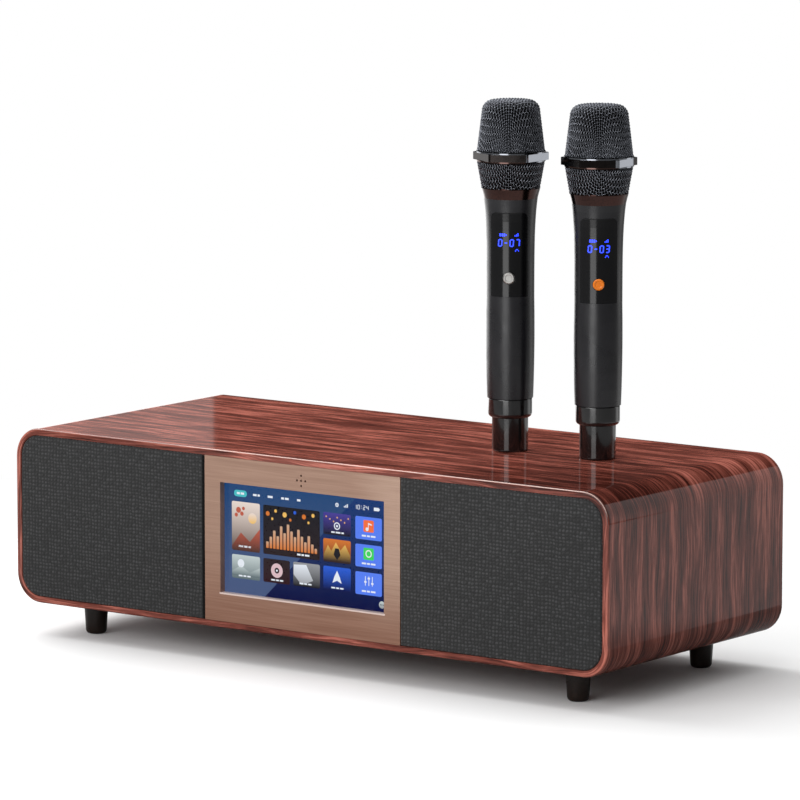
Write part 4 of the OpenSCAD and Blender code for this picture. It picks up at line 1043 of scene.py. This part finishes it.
def drawScreen():
    w, h = screen["halfWidth"] + 1.5, screen["halfHeight"] + 1.5
    shapes = []

    def add(outline, low, high=None, layer=1):
        shapes.append((outline, fade(outline, low, high or low), layer))

    def words(x, y, lengths, height=1.3, colour="pale", layer=3):
        for length in lengths:
            add(box(x, y, length, height), colour, layer=layer)
            x += length + 0.8

    add([(-w, -h), (w, -h), (w, h), (-w, h)], "deep", "sky", 0)
    # Painted reflection: a lighter diagonal band of glare over the left of the picture
    add([(-w, -h), (-38, -h), (46, h), (-w, h)], "paintedGlare", "haze", 1)
    # Painted shadow: a dark line along the top edge of the picture, under the edge of the opening
    add([(-w, h - 2.2), (w, h - 2.2), (w, h), (-w, h)], "black", layer=2)
    add(roundBox(-64, 29.6, 11.5, 4.6, 2.2), "teal", layer=2)
    words(-61.4, 31.2, (2.6, 3.0), 1.5)
    for x, lengths in ((-47, (3.2, 2.0)), (-34, (4.4,)), (-22, (2.4, 3.4)), (-8, (3.0,))):
        words(x, 31.2, lengths, 1.5)
    for shape in ringOf(27, 32, 1.5, 0.7) + [disc(27, 32, 0.5)]:
        add(shape, "pale", layer=2)
    for i in range(3):
        add(box(33 + i * 1.3, 30.8, 0.9, 1.0 + 0.8 * i), "pale", layer=2)
    for x, character in ((42, "1"), (44.8, "0"), (49.6, "2"), (52.4, "4")):
        for shape in digit(character, x, 30.6, 2.1, 3.4, 0.5, 0.0):
            add(shape, "pale", layer=2)
    for y in (31.4, 33.0):
        add(box(48.0, y, 0.5, 0.5), "pale", layer=2)
    add(roundBox(59, 30.9, 4.6, 2.4, 0.5), "pale", layer=2)
    add(box(63.7, 31.6, 0.5, 1.0), "pale", layer=2)

    tall, large = roundBox(-66, -9, 25, 35), roundBox(-38, -9, 50, 35)
    add(tall, "brown", "cream", 2)
    for i, (x, y, r) in enumerate(((-60, 20, 2.2), (-57, 17.6, 1.6), (-62, 16.4, 1.5), (-55.6, 21.4, 1.3))):
        add(disc(x, y, r, 10), "leaf", layer=3)
    add([(-66, -6), (-58, 4), (-50, -2), (-41, 8), (-41, -7.6), (-42.4, -9), (-64.6, -9), (-66, -7.6)],
        "brown", "leaf", 3)
    add(disc(-47.6, 15, 3.8), "gold", "cream", 3)
    words(-60, -6.4, (4.0, 3.0, 2.4))
    add(large, "dusk", "ink", 2)
    glow = ((-34, 20, 1.7, "amber"), (-27, 22.4, 1.2, "gold"), (-19, 20.4, 1.9, "gold"),
            (-10, 22.8, 1.3, "blue"), (-2, 20.6, 1.8, "amber"), (6, 22.2, 1.4, "gold"),
            (-30, 16.6, 1.0, "gold"), (-14, 17.2, 1.1, "amber"), (2, 16.8, 1.0, "gold"))
    for x, y, r, colour in glow:
        add(disc(x, y, r, 12), colour, layer=3)
    levels = (5, 9, 14, 10, 18, 13, 20, 15, 11, 17, 12, 8, 13, 7, 4)
    for i, level in enumerate(levels):
        add(roundBox(-35.4 + i * 3.05, -4.6, 2.2, level * 0.92, 0.5, 2), "amber", "sand", 3)
    words(-8, -7.2, (3.0, 2.2, 4.0))
    evening, fire = roundBox(15, 10.5, 24, 15.5), roundBox(15, -9, 24, 16.5)
    add(evening, "ink", "violet", 2)
    for i in range(7):
        add(disc(17.6 + i * 3.2, 23.0 - (i % 3) * 1.5, 0.6, 8), "gold", layer=3)
    for shape in ringOf(27, 17, 2.7, 0.8) + [disc(27, 17, 0.9)]:
        add(shape, "pale", layer=3)
    words(22, 11.9, (3.0, 4.2, 2.2), 1.1)
    add(fire, "ink", "amber", 2)
    add([(15.4, -4), (19, 3), (22, -1), (26, 5.4), (30, 0), (34, 4.4), (38.6, -3), (38.6, -8), (15.4, -8)],
        "dusk", "gold", 3)
    add([(27, -7), (24, -3.4), (25.4, 1.2), (28.6, 1.2), (30, -3.4)], "ink", layer=4)
    low = -29.0
    for x, width, a, b in ((-66, 25, "stone", "mist"), (-38, 23.5, "wine", "dusk"),
                           (-11.5, 23.5, "ink", "grey"), (15, 24, "deep", "blue")):
        add(roundBox(x, low, width, 17), a, b, 2)
    add(disc(-58, -18, 3.0), "pale", layer=3)
    add([(-66, -24), (-58, -19.5), (-50, -24), (-41.2, -20), (-41.2, -27), (-66, -27)], "stone", "mist", 3)
    for r, colour in ((5.2, "rose"), (2.1, "wine"), (0.8, "pale")):
        add(disc(-26, -20, r), colour, layer=3 + (r < 3) + (r < 1))
    add([(-11, -14), (0, -13.2), (6, -24), (-4, -28), (-11.2, -21)], "grey", "pale", 3)
    add([(27, -14.5), (29.4, -19), (31, -23.4), (27, -21.6), (23, -23.4), (24.6, -19)], "pale", layer=3)
    for x in (-60, -31, -6, 22):
        words(x, low + 1.6, (3.4, 2.6, 3.0), 1.1, layer=4)
    for i, badge in enumerate(("orange", "green", "tile")):
        y = 10.0 - i * 19.5
        add(roundBox(43, y, 23, 16), "tile", layer=2)
        if badge != "tile":
            add(roundBox(50, y + 5.4, 9, 8.4, 1.0), badge, layer=3)
        words(48.6, y + 2.0, (3.6, 2.6, 4.0), 1.2)
    add(disc(53.2, 17.4, 1.3), "pale", layer=4)
    add(box(54.0, 17.4, 0.5, 4.6), "pale", layer=4)
    add([(54.0, 22.0), (57.2, 21.2), (57.2, 20.2), (54.0, 21.0)], "pale", layer=4)
    for shape in ringOf(54.5, 0.2, 2.7, 0.8):
        add(shape, "pale", layer=4)
    for i, at in enumerate((2.0, 4.6, 1.2)):
        x = 51.4 + i * 3.0
        add(box(x, -22.4, 0.6, 6.6), "pale", layer=4)
        add(box(x - 0.7, -22.4 + at, 2.0, 1.2), "pale", layer=5)
    add(disc(66, -34.6, 2.6), "grey", "mist", 2)
    for i in range(3):
        add(disc(64.8 + 1.2 * i, -34.6, 0.4, 8), "night", layer=3)
    return shapes


def makeScreenPicture():
    vertices, faces, colours = [], [], []
    for outline, tints, layer in drawScreen():
        base = len(vertices)
        area = sum(a[0] * b[1] - b[0] * a[1] for a, b in zip(outline, outline[1:] + outline[:1]))
        if area < 0:
            outline, tints = outline[::-1], tints[::-1]
        vertices += [(x * mm, (screen["y"] - layer * 0.01) * mm, (screen["centre"] + y) * mm)
                     for x, y in outline]
        colours += [(*tint, 1.0) for tint in tints]
        faces.append(tuple(range(base, base + len(outline))))
    material, tree, shader, place = startMaterial(
        "screen_light", Roughness=0.4, Specular_IOR_Level=0.0, Base_Color=(0.004, 0.004, 0.006, 1),
        Emission_Strength=screen["power"])
    feed(tree, shader, Emission_Color=made(tree, "ShaderNodeAttribute", attribute_name="tint"))
    piece = addPiece("screen_picture", "cabinet", "display_metal", vertices, faces, smooth=False,
                     material=material)
    layerData = piece.data.attributes.new("tint", "FLOAT_COLOR", "POINT")
    layerData.data.foreach_set("color", np.array(colours, np.float32).ravel())


makeScreenPicture()
print("screen picture made")


# Stage: camera, floor and light

def makeCamera():
    data = bpy.data.cameras.new("camera")
    data.lens = cameraPose["lens"]
    data.sensor_width = 36.0
    data.clip_start, data.clip_end = 0.1, 100.0
    camera = linkObject("camera", data)
    turn = Matrix([cameraPose["right"], cameraPose["up"], cameraPose["back"]]).transposed().to_4x4()
    camera.matrix_world = Matrix.Translation(Vector(cameraPose["place"]) * mm) @ turn
    scene.camera = camera


# How far a direction falls inside the white card behind the right side, by its x part
def cardBand(tree, x):
    low, high = studio["card"]["x"]
    return times(tree, remap(tree, x, low - 0.03, low), remap(tree, x, high, high + 0.03, 1.0, 0.0))


# The camera sees a white floor with the object's shadow; reflections see a bright ring of it
def makeFloor():
    bpy.ops.mesh.primitive_plane_add(size=60.0)
    floor = bpy.context.active_object
    floor.name = "floor"
    material, tree, shader, place = startMaterial("floor", Roughness=0.9, Specular_IOR_Level=0.1)
    rays = put(tree, "ShaderNodeLightPath").outputs
    sight = calc(tree, "MAXIMUM", rays["Is Camera Ray"], rays["Is Transmission Ray"])
    away = vec(tree, "LENGTH", place)
    bounce = (studio["bounce"],) * 3 + (1,)
    feed(tree, shader, Base_Color=blend(tree, sight, bounce, (0.9, 0.9, 0.9, 1)))
    clear = times(tree, sight, remap(tree, away, *studio["shadowReach"]))
    near, far = studio["mirrorRing"]
    x, y, z = split(tree, vec(tree, "NORMALIZE", place))
    beyond = times(tree, calc(tree, "GREATER_THAN", y, 0.0), cardBand(tree, x))
    ring = times(tree, remap(tree, away, *near),
                 calc(tree, "MAXIMUM", beyond, remap(tree, away, *far, 1.0, 0.0)))
    mirrored = times(tree, rays["Is Glossy Ray"], ring)
    level = plus(tree, sight, times(tree, mirrored, studio["mirrorLevel"]))
    white = made(tree, "ShaderNodeEmission", {"Color": (1, 1, 1, 1), "Strength": level})
    mixed = made(tree, "ShaderNodeMixShader", {
        0: calc(tree, "MAXIMUM", clear, mirrored), 1: shader.outputs[0], 2: white})
    tree.links.new(mixed, tree.nodes["Material Output"].inputs[0])
    floor.data.materials.append(material)


def makeWorld():
    world = bpy.data.worlds.new("studio")
    scene.world = world
    world.use_nodes = True
    tree = world.node_tree
    tree.nodes.clear()
    x, y, height = split(tree, put(tree, "ShaderNodeTexCoord").outputs["Generated"])
    ramp = put(tree, "ShaderNodeValToRGB", {0: height})
    stops = studio["sky"]
    elements = ramp.color_ramp.elements
    while len(elements) < len(stops):
        elements.new(0.5)
    for element, (at, level) in zip(elements, stops):
        element.position = at
        element.color = (level, level, level, 1)
    side = remap(tree, x, -0.3, 0.8, 1.0, studio["skyRight"])
    lit = vec(tree, "MULTIPLY", ramp.outputs[0], join(tree, side, side, side))
    rays = put(tree, "ShaderNodeLightPath").outputs
    # Mirrors see a dark room behind the cabinet, but for a white card on the right
    flat = calc(tree, "SQRT", minus(tree, 1.0, times(tree, height, height)))
    top = studio["card"]["top"]
    card = times(tree, cardBand(tree, over(tree, x, flat)),
                 remap(tree, height, top, top + 0.04, studio["card"]["level"], 0.0))
    card = plus(tree, card, studio["room"])
    behind = times(tree, remap(tree, y, 0.05, 0.25), remap(tree, height, 0.75, 0.6))
    lit = blend(tree, times(tree, behind, rays["Is Glossy Ray"]), lit, join(tree, card, card, card))
    colour = blend(tree, rays["Is Camera Ray"], lit, (1, 1, 1, 1))
    back = made(tree, "ShaderNodeBackground", {"Color": colour, "Strength": 1.0})
    put(tree, "ShaderNodeOutputWorld", {"Surface": back})


def addLight(name, look):
    data = bpy.data.lights.new(name, "AREA")
    data.shape = "RECTANGLE"
    data.size, data.size_y = look["size"]
    data.energy = look["power"]
    light = linkObject(name, data)
    light.location = look["at"]
    facing = Vector(look["target"]) - Vector(look["at"])
    light.rotation_euler = facing.to_track_quat("-Z", "Y").to_euler()
    light.visible_camera = False


studio = {
    "sky": [(0.0, 0.30), (0.04, 0.03), (0.24, 0.03), (0.42, 0.75), (1.0, 1.5)],
    "skyRight": 0.4, "shadowReach": (0.38, 0.85), "bounce": 0.26,
    "mirrorRing": ((0.32, 0.5), (1.05, 1.3)), "mirrorLevel": 0.85,
    "card": {"x": (0.33, 0.66), "top": 0.5, "level": 0.85}, "room": 0.02,
    "lights": {
        "key": {"at": (-1.5, 0.3, 2.0), "target": (0.0, 0.0, 0.1), "size": (1.6, 1.6), "power": 36.0},
        "fill": {"at": (-0.6, -3.0, 1.5), "target": (0.0, 0.0, 0.15), "size": (2.0, 1.4), "power": 38.0},
        "front strip": {"at": (0.367, -1.263, 0.3), "target": (0.13, 0.015, 0.3),
                        "size": (0.65, 0.6), "power": 4.4},
        "back strip": {"at": (-1.01, 0.52, 0.13), "target": (0.13, 0.015, 0.13), "size": (1.36, 0.26),
                       "power": 1.6},
        "left card": {"at": (-1.855, 0.931, 0.5), "target": (-1.2, 0.1, 0.5), "size": (1.5, 1.0),
                      "power": 1.5},
    },
}

makeCamera()
makeFloor()
makeWorld()
for name, look in studio["lights"].items():
    addLight(name, look)
print("stage made")
